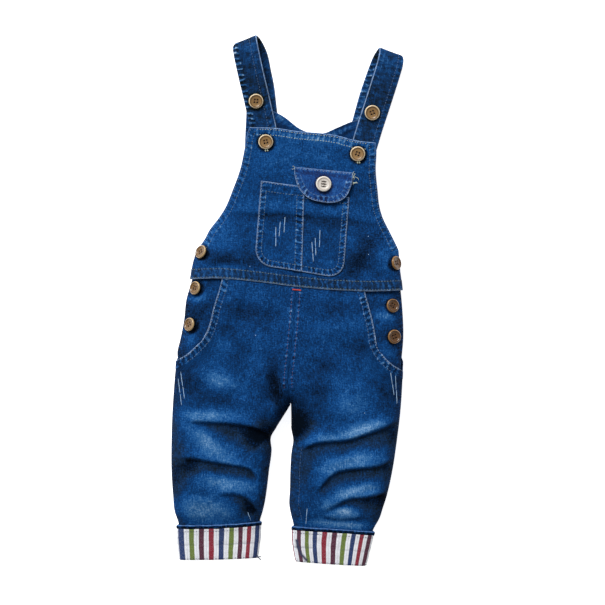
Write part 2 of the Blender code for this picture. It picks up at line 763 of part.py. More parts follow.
def make_hip_facing(leg, denim):
    """The panel behind the pocket's mouth: the front's own points, one layer further in."""
    foot = leg.mouth[0].y
    edges = [
        lambda y: x_along(leg.outer, y) - leg.sign * NEAR_EDGE,
        lambda y: x_along(leg.mouth, np.maximum(y, foot + 12)) - leg.sign * FACING_UNDER,
    ]
    if leg.sign > 0:
        edges.reverse()
    x, y = plan_grid(*edges, lambda x: foot - FACING_BELOW + 0 * x, below_waist, 9, 11)
    points, out = on_front_lapped(x, y, leg.sign < 0, leg.sign > 0)
    outer = -CLOTH - FACING_GAP
    cloth_wall("hip_facing_" + leg.side, points, out, outer - CLOTH, outer, denim)


def make_cuff(leg, stripes, denim):
    """The turned-up hem: a ring round the leg's end, with the striped facing out and a denim edge on top.
    The ring's front runs from -X to +X and its back from +X to -X, in the same columns as the leg."""

    def top(x):
        return y_across(leg.cuff_top, x)

    def bottom(x):
        return y_across(leg.cuff_bottom, x)

    edges = [lambda y: x_along(leg.outer, y), lambda y: x_along(leg.inseam, y)]
    if leg.sign > 0:
        edges.reverse()
    stops = ((bottom, lambda x: top(x) - CUFF_EDGE_WIDTH - GAP), (lambda x: top(x) - CUFF_EDGE_WIDTH, top))
    for name, (low, high), rows, material in (
        ("cuff_", stops[0], 5, stripes),
        ("cuff_edge_", stops[1], 2, denim),
    ):
        front, front_out = on_front(*plan_grid(*edges, low, high, FRONT_COLUMNS, rows))
        back, back_out = on_back(*plan_grid(*edges[::-1], low, high, BACK_COLUMNS, rows))
        ring = np.concatenate([front, back[:, 1:-1]], axis=1)
        out = np.concatenate([front_out, back_out[:, 1:-1]], axis=1)
        stands_off = CUFF_FLARE * (1 if rows == 2 else np.linspace(0, 1, rows)[:, None])
        rise = GAP + stands_off * (1 + np.minimum(out[..., 2], 0))
        cloth_wall(name + leg.side, ring, out, rise, rise + CUFF_CLOTH, material, ring=True)


def make_back_panel(denim):
    """The back from the waist seam to the neckline, lying on the surface and on the straps' roots."""
    x, y = plan_grid(
        back_left, back_right, lambda x: waist(x) + HALF_GAP, lambda x: y_across(NECKLINE, x), 15, 15
    )
    cloth_wall("back_panel", *on_back(x, y), -CLOTH, 0, denim)


def strap_points(rows, along, across):
    """Points on a strap's middle: along counts its rows, across runs from -1 to 1 over its width."""
    at = np.arange(len(rows), dtype=float)
    x, y, z, turn = (smooth(at, column(rows, name), along) for name in StrapSection._fields)
    half, turn = STRAP_WIDTH / 2 * across, np.radians(turn)
    middle = np.maximum(z, DOUBLE_CLOTH / 2)
    return np.stack([x + half * np.cos(turn), y + half * np.sin(turn), middle], axis=-1)


def make_strap(side, rows, denim):
    """Two layers of cloth swept along the strap's middle line, over the fold at the shoulder."""
    along, across = np.meshgrid(np.linspace(0, len(rows) - 1, 35), np.linspace(-1, 1, 5), indexing="ij")
    middle = strap_points(rows, along, across)
    half = DOUBLE_CLOTH / 2
    cloth_wall("strap_" + side, middle, grid_normals(middle), -half, half, denim)


def frame_point(corner_x, corner_y, tilt, lean, across, down):
    """A point across and down from a corner, in axes tilted below +X and leaning from -Y towards -X."""
    x = corner_x + across * math.cos(math.radians(tilt)) - down * math.sin(math.radians(lean))
    y = corner_y - across * math.sin(math.radians(tilt)) - down * math.cos(math.radians(lean))
    return x, y


def patch(name, across, down, frame, lift, denim):
    """A patch on the front: points across and down in its own axes, raised by lift above the front."""
    points, out = on_front(*frame_point(*frame, across, down))
    cloth_wall(name, points, out, lift, lift + CLOTH, denim)


def pocket_foot(across):
    """The pocket's depth at a place across it, with a round corner at each side."""
    from_side = np.minimum(across, POCKET_WIDTH - across)
    in_corner = np.clip(1 - from_side / POCKET_ROUND, 0, 1)
    slope = POCKET_DEEPER * across / POCKET_WIDTH
    return POCKET_DEPTH + slope - POCKET_ROUND * (1 - np.sqrt(1 - in_corner**2))


def make_bib_pocket(denim):
    """Two halves; the right one laps over the left one's edge, one layer higher."""
    frame = (POCKET_CORNER_X, POCKET_CORNER_Y, POCKET_TILT, POCKET_LEAN)
    v = np.linspace(1, 0, 10)[:, None]
    u = (1 - np.cos(np.linspace(0, math.pi / 2, 8)))[None, :]
    drift = POCKET_LAP_DRIFT * v
    across = (POCKET_LAP_TO + drift) * u
    lift = GAP + (CLOTH + GAP) * ease((across - drift - POCKET_LAP_FROM + 10) / 8)
    patch("bib_pocket_right", across, pocket_foot(across) * v, frame, lift, denim)
    across = POCKET_WIDTH - (POCKET_WIDTH - POCKET_LAP_FROM - drift) * u[:, ::-1]
    down = POCKET_LEFT_TOP + (pocket_foot(across) - POCKET_LEFT_TOP) * v
    patch("bib_pocket_left", across, down, frame, GAP + 0 * across, denim)


def flap_depth(across):
    """A half-round flap."""
    from_middle = np.minimum(np.abs(1 - 2 * across / FLAP_WIDTH), 1)
    return 2 + (FLAP_DEPTH - 2) * (1 - from_middle**2.6) ** (1 / 2.2)


def flap_lift(down):
    return GAP + (FLAP_LIFT - GAP) * ease(down / FLAP_LIFT_OVER)


def make_flap(denim):
    frame = (FLAP_CORNER_X, FLAP_CORNER_Y, FLAP_TILT, 0.0)
    v = np.linspace(1, 0, 7)[:, None]
    u = (1 - np.cos(np.linspace(0, math.pi, 15)))[None, :] / 2
    across = FLAP_WIDTH * u + 0 * v
    down = flap_depth(across) * v
    patch("pocket_flap", across, down, frame, flap_lift(down), denim)


def make_button(name, centre, outward, size, material):
    """A four-hole button: a turned disc with a raised rim round a dish, standing on its back's centre."""
    sides = BUTTON_SIDES
    turns = np.linspace(0, 2 * math.pi, sides, endpoint=False)
    points = [
        (size / 2 * out * math.cos(turn), size / 2 * out * math.sin(turn), up * BUTTON_HEIGHT)
        for out, up in BUTTON_OUTLINE
        for turn in turns
    ]
    faces = []
    for ring in range(len(BUTTON_OUTLINE) - 1):
        for side in range(sides):
            after = (side + 1) % sides
            low, high = ring * sides, (ring + 1) * sides
            faces.append([low + side, low + after, high + after, high + side])
    faces.append([side for side in reversed(range(sides))])
    faces.append([(len(BUTTON_OUTLINE) - 1) * sides + side for side in range(sides)])
    button = mesh_object(name, points, faces, material)
    cutter = button_holes(name + "_holes", material)
    cut = button.modifiers.new("holes", "BOOLEAN")
    cut.operation = "DIFFERENCE"
    cut.object = cutter
    place = Vector(outward).normalized().to_track_quat("Z", "Y").to_matrix().to_4x4()
    place.translation = Vector(centre) * MM
    button.matrix_world = place
    cutter.matrix_world = place


def button_holes(name, material):
    """Four short rods, where the sewing holes are cut."""
    points, faces = [], []
    for quarter in range(4):
        turn = math.radians(45 + 90 * quarter)
        x, y = BUTTON_HOLE_OUT * math.cos(turn), BUTTON_HOLE_OUT * math.sin(turn)
        first = len(points)
        for z in (-1.0, BUTTON_HEIGHT + 1):
            for side in range(HOLE_SIDES):
                angle = side * 2 * math.pi / HOLE_SIDES
                points.append(
                    (
                        x + BUTTON_HOLE_RADIUS * math.cos(angle),
                        y + BUTTON_HOLE_RADIUS * math.sin(angle),
                        z,
                    )
                )
        for side in range(HOLE_SIDES):
            after = (side + 1) % HOLE_SIDES
            low, high = first, first + HOLE_SIDES
            faces.append([low + side, low + after, high + after, high + side])
        faces.append([first + side for side in reversed(range(HOLE_SIDES))])
        faces.append([first + HOLE_SIDES + side for side in range(HOLE_SIDES)])
    cutter = mesh_object(name, points, faces, material)
    cutter.hide_render = True
    cutter.display_type = "WIRE"
    return cutter


def flap_height(x, y):
    """z of the flap's outer face, taking its depth axis as -Y."""
    across = (x - FLAP_CORNER_X) / math.cos(math.radians(FLAP_TILT))
    down = FLAP_CORNER_Y - across * math.sin(math.radians(FLAP_TILT)) - y
    return front_height(x, y) + flap_lift(down) + CLOTH


def facing_height(x, y):
    """z of the hip facing's outer face, near enough for a button."""
    return front_height(x, y) - (CLOTH + FACING_GAP) * 1.1


def seat(points, size, tilt=0.0):
    """Where a button stands on a square grid of points: clear of all of them within its rim, on the middle
    one's normal, leaned by tilt degrees towards +X."""
    middle = len(points) // 2
    centre, normal = points[middle, middle], grid_normals(points)[middle, middle]
    cos, sin = math.cos(math.radians(tilt)), math.sin(math.radians(tilt))
    outward = np.array([normal[0] * cos + normal[2] * sin, normal[1], normal[2] * cos - normal[0] * sin])
    offset = points - centre
    under_button = np.linalg.norm(offset, axis=-1) < size / 2 + 1
    lift = np.max((offset @ outward)[under_button])
    return centre + outward * (lift + GAP), outward


def make_buttons(brown, pale):
    heights = {"front": front_height, "facing": facing_height, "flap": flap_height}
    step = np.linspace(-10, 10, 21)
    for spot in BUTTONS:
        x, y = np.meshgrid(spot.x + step, spot.y + step)
        points = np.stack([x, y, heights[spot.on](x, y)], axis=-1)
        material = pale if spot.on == "flap" else brown
        make_button(spot.name, *seat(points, spot.size, spot.tilt), spot.size, material)
    for spot in STRAP_BUTTONS:
        across, along = np.meshgrid(spot.across + step / 18, spot.along + step / 18)
        middle = strap_points(spot.rows, along, across)
        points = middle + grid_normals(middle) * DOUBLE_CLOTH / 2
        make_button(spot.name, *seat(points, spot.size), spot.size, brown)


def centre_on_origin():
    """Moves the whole garment so that the origin is under the centre of its box, on its lowest point."""
    bpy.context.view_layer.update()
    parts = [obj for obj in bpy.context.scene.objects if not obj.hide_render]
    corners = np.array([obj.matrix_world @ vertex.co for obj in parts for vertex in obj.data.vertices])
    low, high = corners.min(axis=0), corners.max(axis=0)
    shift = Matrix.Translation((-(low[0] + high[0]) / 2, -(low[1] + high[1]) / 2, -low[2]))
    for obj in bpy.context.scene.objects:
        obj.matrix_world = shift @ obj.matrix_world


def main():
    for obj in list(bpy.data.objects):
        bpy.data.objects.remove(obj)
    denim = plain_material("denim", (0.018, 0.070, 0.190), 0.85)
    stripes = plain_material("striped_cotton", (0.62, 0.60, 0.56), 0.80)
    brown = plain_material("brown_button", (0.26, 0.15, 0.075), 0.45)
    pale = plain_material("pale_button", (0.62, 0.55, 0.48), 0.40)
    make_back_panel(denim)
    make_bib(denim)
    make_waistband(denim)
    for leg in LEGS:
        make_back_leg(leg, denim)
        make_front_leg(leg, denim)
        make_hip_facing(leg, denim)
        make_cuff(leg, stripes, denim)
    make_strap("right", STRAP_RIGHT, denim)
    make_strap("left", STRAP_LEFT, denim)
    make_bib_pocket(denim)
    make_flap(denim)
    make_buttons(brown, pale)
    centre_on_origin()


main()
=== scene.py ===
"""Looks of the kids' dungarees: washed denim laid flat, front up, with striped cotton cuffs and coconut-shell buttons.

Lengths are millimetres until a mesh is made.  x, y and z are the source's axes before its last step, which moves
the garment by MOVED_X and MOVED_Y so that its box is centred.  "Right" is the wearer's right, at -X.
"""

import json
import math
from collections import namedtuple
from functools import partial

import bpy
import numpy as np
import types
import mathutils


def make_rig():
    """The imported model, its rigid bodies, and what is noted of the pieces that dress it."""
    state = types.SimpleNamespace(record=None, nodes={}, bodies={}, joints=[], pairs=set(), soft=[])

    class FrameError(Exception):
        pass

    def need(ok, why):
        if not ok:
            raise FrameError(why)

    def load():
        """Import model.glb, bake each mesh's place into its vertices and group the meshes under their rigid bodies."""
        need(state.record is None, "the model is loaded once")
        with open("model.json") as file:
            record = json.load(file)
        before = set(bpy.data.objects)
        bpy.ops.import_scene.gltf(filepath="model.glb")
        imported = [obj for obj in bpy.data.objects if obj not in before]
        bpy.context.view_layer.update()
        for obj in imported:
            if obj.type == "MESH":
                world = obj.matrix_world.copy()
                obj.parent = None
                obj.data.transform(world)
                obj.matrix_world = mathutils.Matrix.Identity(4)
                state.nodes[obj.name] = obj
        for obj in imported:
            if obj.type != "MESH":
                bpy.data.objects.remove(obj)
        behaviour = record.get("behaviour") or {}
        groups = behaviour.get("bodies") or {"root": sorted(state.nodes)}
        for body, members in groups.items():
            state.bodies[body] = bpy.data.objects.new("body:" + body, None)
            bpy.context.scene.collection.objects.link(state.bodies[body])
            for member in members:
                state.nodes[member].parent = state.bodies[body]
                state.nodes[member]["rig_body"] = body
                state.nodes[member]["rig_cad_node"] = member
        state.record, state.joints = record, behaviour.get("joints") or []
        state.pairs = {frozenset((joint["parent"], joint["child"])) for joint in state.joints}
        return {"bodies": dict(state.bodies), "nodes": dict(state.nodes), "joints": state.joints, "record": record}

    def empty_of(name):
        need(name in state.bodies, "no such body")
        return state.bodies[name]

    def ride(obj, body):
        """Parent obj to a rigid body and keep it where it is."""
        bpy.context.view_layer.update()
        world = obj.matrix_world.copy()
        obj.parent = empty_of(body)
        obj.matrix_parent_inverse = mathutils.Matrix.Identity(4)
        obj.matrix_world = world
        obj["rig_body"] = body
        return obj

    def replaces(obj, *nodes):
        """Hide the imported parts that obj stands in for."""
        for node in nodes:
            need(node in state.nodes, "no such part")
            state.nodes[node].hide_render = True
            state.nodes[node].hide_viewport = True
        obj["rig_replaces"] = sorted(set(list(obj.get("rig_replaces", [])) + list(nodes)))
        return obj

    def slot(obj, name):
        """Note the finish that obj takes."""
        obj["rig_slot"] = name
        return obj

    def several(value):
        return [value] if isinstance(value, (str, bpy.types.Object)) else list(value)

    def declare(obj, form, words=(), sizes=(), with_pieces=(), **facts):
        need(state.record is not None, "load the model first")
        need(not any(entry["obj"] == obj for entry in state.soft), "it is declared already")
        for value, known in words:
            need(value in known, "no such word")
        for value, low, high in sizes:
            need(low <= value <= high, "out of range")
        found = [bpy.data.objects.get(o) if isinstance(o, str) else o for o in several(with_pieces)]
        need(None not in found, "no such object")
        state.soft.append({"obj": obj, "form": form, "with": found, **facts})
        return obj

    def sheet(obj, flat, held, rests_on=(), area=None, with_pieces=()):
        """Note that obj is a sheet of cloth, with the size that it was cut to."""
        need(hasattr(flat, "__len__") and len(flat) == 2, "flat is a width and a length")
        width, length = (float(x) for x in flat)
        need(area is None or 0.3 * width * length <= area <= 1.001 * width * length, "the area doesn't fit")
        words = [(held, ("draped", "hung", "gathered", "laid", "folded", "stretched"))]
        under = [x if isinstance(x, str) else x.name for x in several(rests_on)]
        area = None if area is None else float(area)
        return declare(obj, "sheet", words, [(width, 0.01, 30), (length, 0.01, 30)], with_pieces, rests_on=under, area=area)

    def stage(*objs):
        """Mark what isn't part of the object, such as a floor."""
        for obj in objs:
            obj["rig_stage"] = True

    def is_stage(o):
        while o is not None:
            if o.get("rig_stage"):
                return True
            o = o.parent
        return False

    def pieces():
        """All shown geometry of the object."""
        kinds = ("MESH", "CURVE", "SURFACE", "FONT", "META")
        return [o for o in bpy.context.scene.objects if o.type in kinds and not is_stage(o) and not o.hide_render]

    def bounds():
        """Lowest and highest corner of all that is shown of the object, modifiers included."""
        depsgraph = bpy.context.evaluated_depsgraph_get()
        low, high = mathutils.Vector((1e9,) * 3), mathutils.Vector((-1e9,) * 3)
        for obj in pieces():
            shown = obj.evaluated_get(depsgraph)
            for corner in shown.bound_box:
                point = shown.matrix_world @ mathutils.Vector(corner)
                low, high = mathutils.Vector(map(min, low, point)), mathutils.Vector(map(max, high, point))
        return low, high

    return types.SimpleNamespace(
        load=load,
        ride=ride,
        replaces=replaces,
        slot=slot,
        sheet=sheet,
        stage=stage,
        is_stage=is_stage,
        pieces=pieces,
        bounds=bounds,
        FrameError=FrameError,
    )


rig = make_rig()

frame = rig.load()
cad_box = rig.bounds()

MM = 0.001
MOVED_X, MOVED_Y = 0.48, 0.36
CLOTH, DOUBLE_CLOTH, CUFF_CLOTH = 1.2, 2.2, 2.0  # one layer, a strap's two, and hem with striped facing
GAP, HALF_GAP = 0.3, 0.15  # between pieces that touch

CROTCH_X, CROTCH_Y = 3.5, -122.7
ARMHOLE_Y = 59.0  # the lowest point of the armholes, where the buttoned side opening starts
BACK_ROUND = 12.0  # how far in from a side seam the back lies flat
UNDER_STRAPS = 2.5  # how high the back lies over the straps' roots
STANDS_UP = 5.0  # a slope from which cloth counts as upright
SIDE_LAP = 5.0  # the front laps this far down over the back along the side opening
LAP_COLUMNS = (0.3, 0.65, 1.0)  # shares of the lap's depth where its columns of points lie
LAP_INSET = 4.6  # the back lies this far inside the lapped front
NEAR_EDGE = 0.6  # the column of points next to a lapped edge

Station = namedtuple("Station", "y x")
Section = namedtuple("Section", "y top front_edge front_round soft back_edge bottom")
Fold = namedtuple("Fold", "x0 y0 x1 y1 bow height up down")
StrapSection = namedtuple("StrapSection", "x y z turn")
Strap = namedtuple("Strap", "side sign rows corner edge_pull seam_pull back_pull streaks paler stitches_in button")
StrapButton = namedtuple("StrapButton", "along across size")
ButtonPlace = namedtuple("ButtonPlace", "name x y size tilt on")
Leg = namedtuple("Leg", "side sign outer inseam mouth cuff_top cuff_bottom")
Crest = namedtuple("Crest", "line up height glow down depth shade")
Fade = namedtuple("Fade", "x y long wide turn amount")
Hem = namedtuple("Hem", "line width worn pull")
StripeLay = namedtuple("StripeLay", "middle first count low high")
Axes = namedtuple("Axes", "x y tilt lean")
Curl = namedtuple("Curl", "x y turn size rise loops")
Cut = namedtuple("Cut", "node width length area rests_on carries")


def table(kind, *rows):
    """Rows with the named columns of a kind."""
    return [kind(*row) for row in rows]


# Outlines seen from above, from the hem to the armhole.
SIDE_RIGHT = table(
    Station, (-305, -126.8), (-283, -128.6), (-262, -129.6), (-251, -133.4), (-230, -135.7), (-200.6, -137.5),
    (-165.2, -137.5), (-129.8, -136.3), (-94.4, -133.9), (-72, -132.3), (-61.4, -132.8), (-47.2, -129.6),
    (-23.6, -125), (0, -122.4), (23.6, -115.8), (47.2, -111.5), (ARMHOLE_Y, -107),
)
SIDE_LEFT = table(
    Station, (-312, 90.5), (-292, 95.2), (-270, 101.2), (-257, 108.3), (-246, 111.8), (-236, 115.1),
    (-200.6, 123.3), (-165.2, 128.6), (-129.8, 132.8), (-94.4, 135.1), (-70.8, 136.2), (-44.8, 138.4),
    (-5.9, 136.9), (21.2, 134.2), (41.3, 131.8), (ARMHOLE_Y, 130.2),
)
INSEAM_RIGHT = table(
    Station, (-305, -37.6), (-283, -35.2), (-260, -33.4), (-250, -30.4), (-242, -28.4), (-224.2, -25.4),
    (-200.6, -22.6), (-177, -19.6), (-161, -20.2), (-149, -13), (-135, -4.2), (CROTCH_Y, CROTCH_X),
)
INSEAM_LEFT = table(
    Station, (-312, 12), (-290, 8), (-263, 6.4), (-252, 3.6), (-242, 1.8), (-224, 2.5), (-200.6, 3), (-177, 4.7),
    (-167, 6.4), (-150, 4), (-136, 3.8), (CROTCH_Y, CROTCH_X),
)
ARMHOLE_RIGHT = table(
    Station, (ARMHOLE_Y, -107), (70.8, -98.5), (82.6, -92.2), (94.4, -83.2), (106.2, -75.2), (129.8, -65),
    (153.4, -56.4), (177, -51.2), (193.5, -48.4), (204, -45.2),
)
ARMHOLE_LEFT = table(
    Station, (ARMHOLE_Y, 130.2), (70.8, 124.5), (82.6, 118.6), (94.4, 112.7), (106.2, 108.6), (129.8, 105.4),
    (153.4, 103.3), (177, 104), (186, 103.3),
)
BACK_ARMHOLE_RIGHT = table(
    Station, (ARMHOLE_Y, -102.4), (70.8, -94), (94.4, -79), (118, -66), (141.6, -57), (165.2, -51.4),
    (188.8, -50.6), (226, -48.9),
)
BACK_ARMHOLE_LEFT = table(
    Station, (ARMHOLE_Y, 125.6), (70.8, 119), (94.4, 107), (118, 102), (141.6, 99.5), (165.2, 99.5), (188.8, 102.5),
    (216, 108),
)
# The curved openings of the hip pockets, from their foot on the side seam to the waist.
POCKET_MOUTH_RIGHT = table(
    Station, (-72, -132.3), (-70, -129), (-64.7, -119.5), (-55.2, -108.7), (-43, -97.8), (-26.8, -91.1),
    (-9.1, -87), (8.5, -81.5), (36, -74),
)
POCKET_MOUTH_LEFT = table(
    Station, (-84, 135.6), (-82.2, 132.8), (-75.5, 121.9), (-64.7, 111.2), (-51.1, 103.6), (-37.5, 101.6),
    (-13.2, 96.2), (9.2, 90.2), (24, 86.5),
)
# The seam that joins the legs to the bib, and the edges that slope across the garment, as y at each x.
WAIST_LINE = table(
    Station, (30.7, -114), (31.8, -84), (27.5, -33.6), (22.2, 8.5), (18, 59), (16.6, 95), (17.8, 134),
)
BIB_TOP = table(
    Station, (203.6, -48), (202.5, -13.6), (198.7, 12.7), (196.6, 38), (193.5, 59.1), (188.8, 76), (185.2, 104),
)
NECKLINE = table(
    Station, (225.5, -49.5), (221.5, -14), (215.9, -4.1), (203, 12.7), (197, 27.5), (197, 42.2), (204, 59.1),
    (211.2, 76.7), (216, 108),
)

# Heights of the cloth from hem to bib top: the front's middle, its side edge and how far its side rounds,
# how flat that edge lies (0 turned right down, 1 a free edge), and the back's side edge and middle.
SECTIONS = table(
    Section, (-312, 14.5, 8.6, 13, 0, 8.1, 2.3), (-262, 17.5, 9.4, 17, 0, 8.9, 2.3),
    (-250, 22.5, 10, 22, 0, 9.4, 2.3), (-236, 27, 10.5, 25, 0, 9.9, 0.7), (-220, 29.5, 10.8, 27, 0, 10.2, 0),
    (-190, 31, 11, 28, 0, 10.4, 0), (-130, 32, 11, 28, 0, 10.4, 0), (-60, 33, 11, 27, 0, 10.4, 0),
    (0, 31, 11, 25, 0, 10.4, 0), (25, 29, 11, 23, 0, 10.4, 0), (50, 26, 11, 21, 0.1, 9.5, 0),
    (75, 22, 12, 19, 0.6, 4.5, 0), (100, 18.5, 12.5, 16, 1, 1, 0), (130, 16, 12.5, 14, 1, 0.2, 0),
    (160, 13.5, 12, 12, 1, 1.3, 1.2), (184, 12, 11.7, 10, 1, 2.6, 2.5), (206, 11.4, 11.2, 10, 1, 2.6, 2.5),
    (228, 11.4, 11.2, 10, 1, 2.6, 2.5),
)

# Ridges (height above 0) and troughs (below 0) of the front, from (x0, y0) to (x1, y1): how far the line
# bows sideways in its middle, its height, and how far its slopes reach up the garment and down it.
FOLDS = table(
    Fold,
    # crotch, thighs and hips
    (-106, -78, -66, -108, 0, 2.4, 15, 13), (88, -98, 58, -138, 0, 2.4, 13, 14),
    (10, -124, 36, -156, 0, -5.6, 10, 10), (-14, -82, -22, -126, 0, -4, 8, 8), (-62, -13, -4, -22, 2, -2.2, 10, 12),
    (40, -58, 92, -62, 2, -2.2, 10, 12), (-104, -18, -124, -30, 0, -2, 8, 8),
)
# The folds that break: each along the line where its crest drops, from -X to +X.  Each pair is a size at the
# line's start and at its end: how far the ridge reaches up the garment, its height and how much paler it is
# painted, as worn wash and painted highlight, and how far the hollow below the break reaches down, its depth and
# how much darker it is painted, as wash left dark and painted shade.
CRESTS = table(
    Crest,
    # across the bib
    ([(-72, 103.5), (-42, 101.5), (-10, 102.5), (14, 100), (40, 97.5), (67, 96), (106, 87)],
     (15, 13), (1.2, 0.9), (0.16, 0.1), (6, 5), (1, 0.7), (0.34, 0.22)),
    # right leg
    ([(-120, -142.4), (-106, -143.2), (-93.2, -144), (-72, -145.1), (-43.1, -149), (-24.8, -158.1), (-18.9, -164)],
     (12, 9), (3, 1.6), (0.4, 0), (6, 27), (1.6, 3.4), (0.16, 0.82)),
    ([(-132.2, -185.3), (-119.2, -185.9), (-107.4, -187.1), (-90.9, -190), (-77.3, -192.3), (-61.4, -194.7),
      (-50.7, -196.6), (-42.5, -200.6), (-36.6, -210), (-35.4, -219.5)],
     (14, 7), (2.6, 1.6), (0.14, 0.24), (15, 11), (2.8, 2.2), (0.56, 0.36)),
    ([(-84, -228.6), (-75, -228.8), (-66.1, -228.2), (-56.6, -229.5), (-48.4, -233.3), (-38.9, -243.8),
      (-34.2, -253.7)],
     (14, 7), (2.2, 1.4), (0.14, 0.1), (5, 20), (1, 3), (0.1, 0.84)),
    # left leg
    ([(10.6, -179.4), (17.7, -175.8), (31.4, -169.2), (49.1, -166.4), (68.1, -165.2), (85.9, -159.8),
      (106.2, -152.8), (129.8, -142.8)],
     (9, 14), (2.4, 3), (0.28, 0.42), (13, 15), (2.4, 2.8), (0.32, 0.46)),
    ([(30.7, -230.1), (42.2, -215.6), (51.8, -206), (64.1, -200.6), (85.8, -197.9), (106.2, -194.7), (126.3, -185.3)],
     (11, 15), (2, 2.8), (0.28, 0.38), (13, 13), (2.4, 2.8), (0.38, 0.5)),
    ([(40.1, -252.5), (49.1, -245.4), (64.1, -237.2), (74.9, -233.3), (91.3, -231.9), (110.3, -227.7), (119.2, -223)],
     (7, 12), (1.8, 2.4), (0.4, 0.3), (4, 21), (1, 2.8), (0.16, 0.85)),
    ([(40.1, -253.7), (53.1, -257.8), (64.9, -258.4), (77.9, -257.2), (89.7, -254.3)],
     (8, 8), (1.2, 1.2), (0.34, 0.34), (3, 3), (0.8, 0.8), (0.36, 0.36)),
)
FOLD_EDGE = 14.0  # folds fade out this near to a side edge
# Smaller creases, which only the dressed cloth has: under the waistband, at the side openings, round the pocket,
# over the bib, at the crotch and down the legs.
CREASES = table(
    Fold, (-60, 12, -64, -22, 0, 0.9, 5, 6), (-47, 10, -50, -14, 0, -0.8, 4, 5), (-28, 10, -30, -20, 0, 0.7, 5, 6),
    (34, 4, 36, -24, 0, 0.8, 5, 6), (52, 2, 55, -20, 0, -0.8, 4, 5), (70, 0, 76, -30, 0, 0.9, 6, 6),
    (-96, 44, -58, 60, 2, 1, 7, 6), (-92, 34, -50, 40, 2, -0.9, 6, 7), (118, 40, 84, 62, 2, 1.1, 7, 6),
    (114, 28, 80, 40, 1, -0.9, 6, 7), (-50, 158, -36, 178, 0, -0.8, 6, 6), (96, 146, 84, 162, 0, -0.8, 6, 6),
    (-20, 166, 30, 172, 0, 0.6, 9, 7), (-62, -42, -20, -58, 3, 1.1, 8, 7), (-54, -62, -14, -84, 2, -1, 7, 8),
    (26, -40, 76, -34, 3, 1.1, 8, 7), (24, -78, 60, -84, 2, -1.1, 7, 8), (14, -96, 46, -104, 0, 1.2, 7, 6),
    (-98, -100, -126, -112, 0, -1.2, 6, 6), (-60, -118, -26, -134, 3, 1.4, 7, 6),
    (-58, -160, -24, -180, 2, 1.3, 5, 5), (-128, -170, -104, -176, 1, -1.1, 4, 5),
    (-104, -196, -60, -206, 2, 0.9, 4, 4), (-126, -226, -96, -232, 1, -0.9, 4, 5), (34, -158, 70, -152, 1, 1, 4, 4),
    (94, -158, 124, -150, 1, -1, 4, 5), (44, -196, 84, -184, 2, 0.9, 4, 4), (88, -226, 112, -222, 1, -1, 4, 4),
)

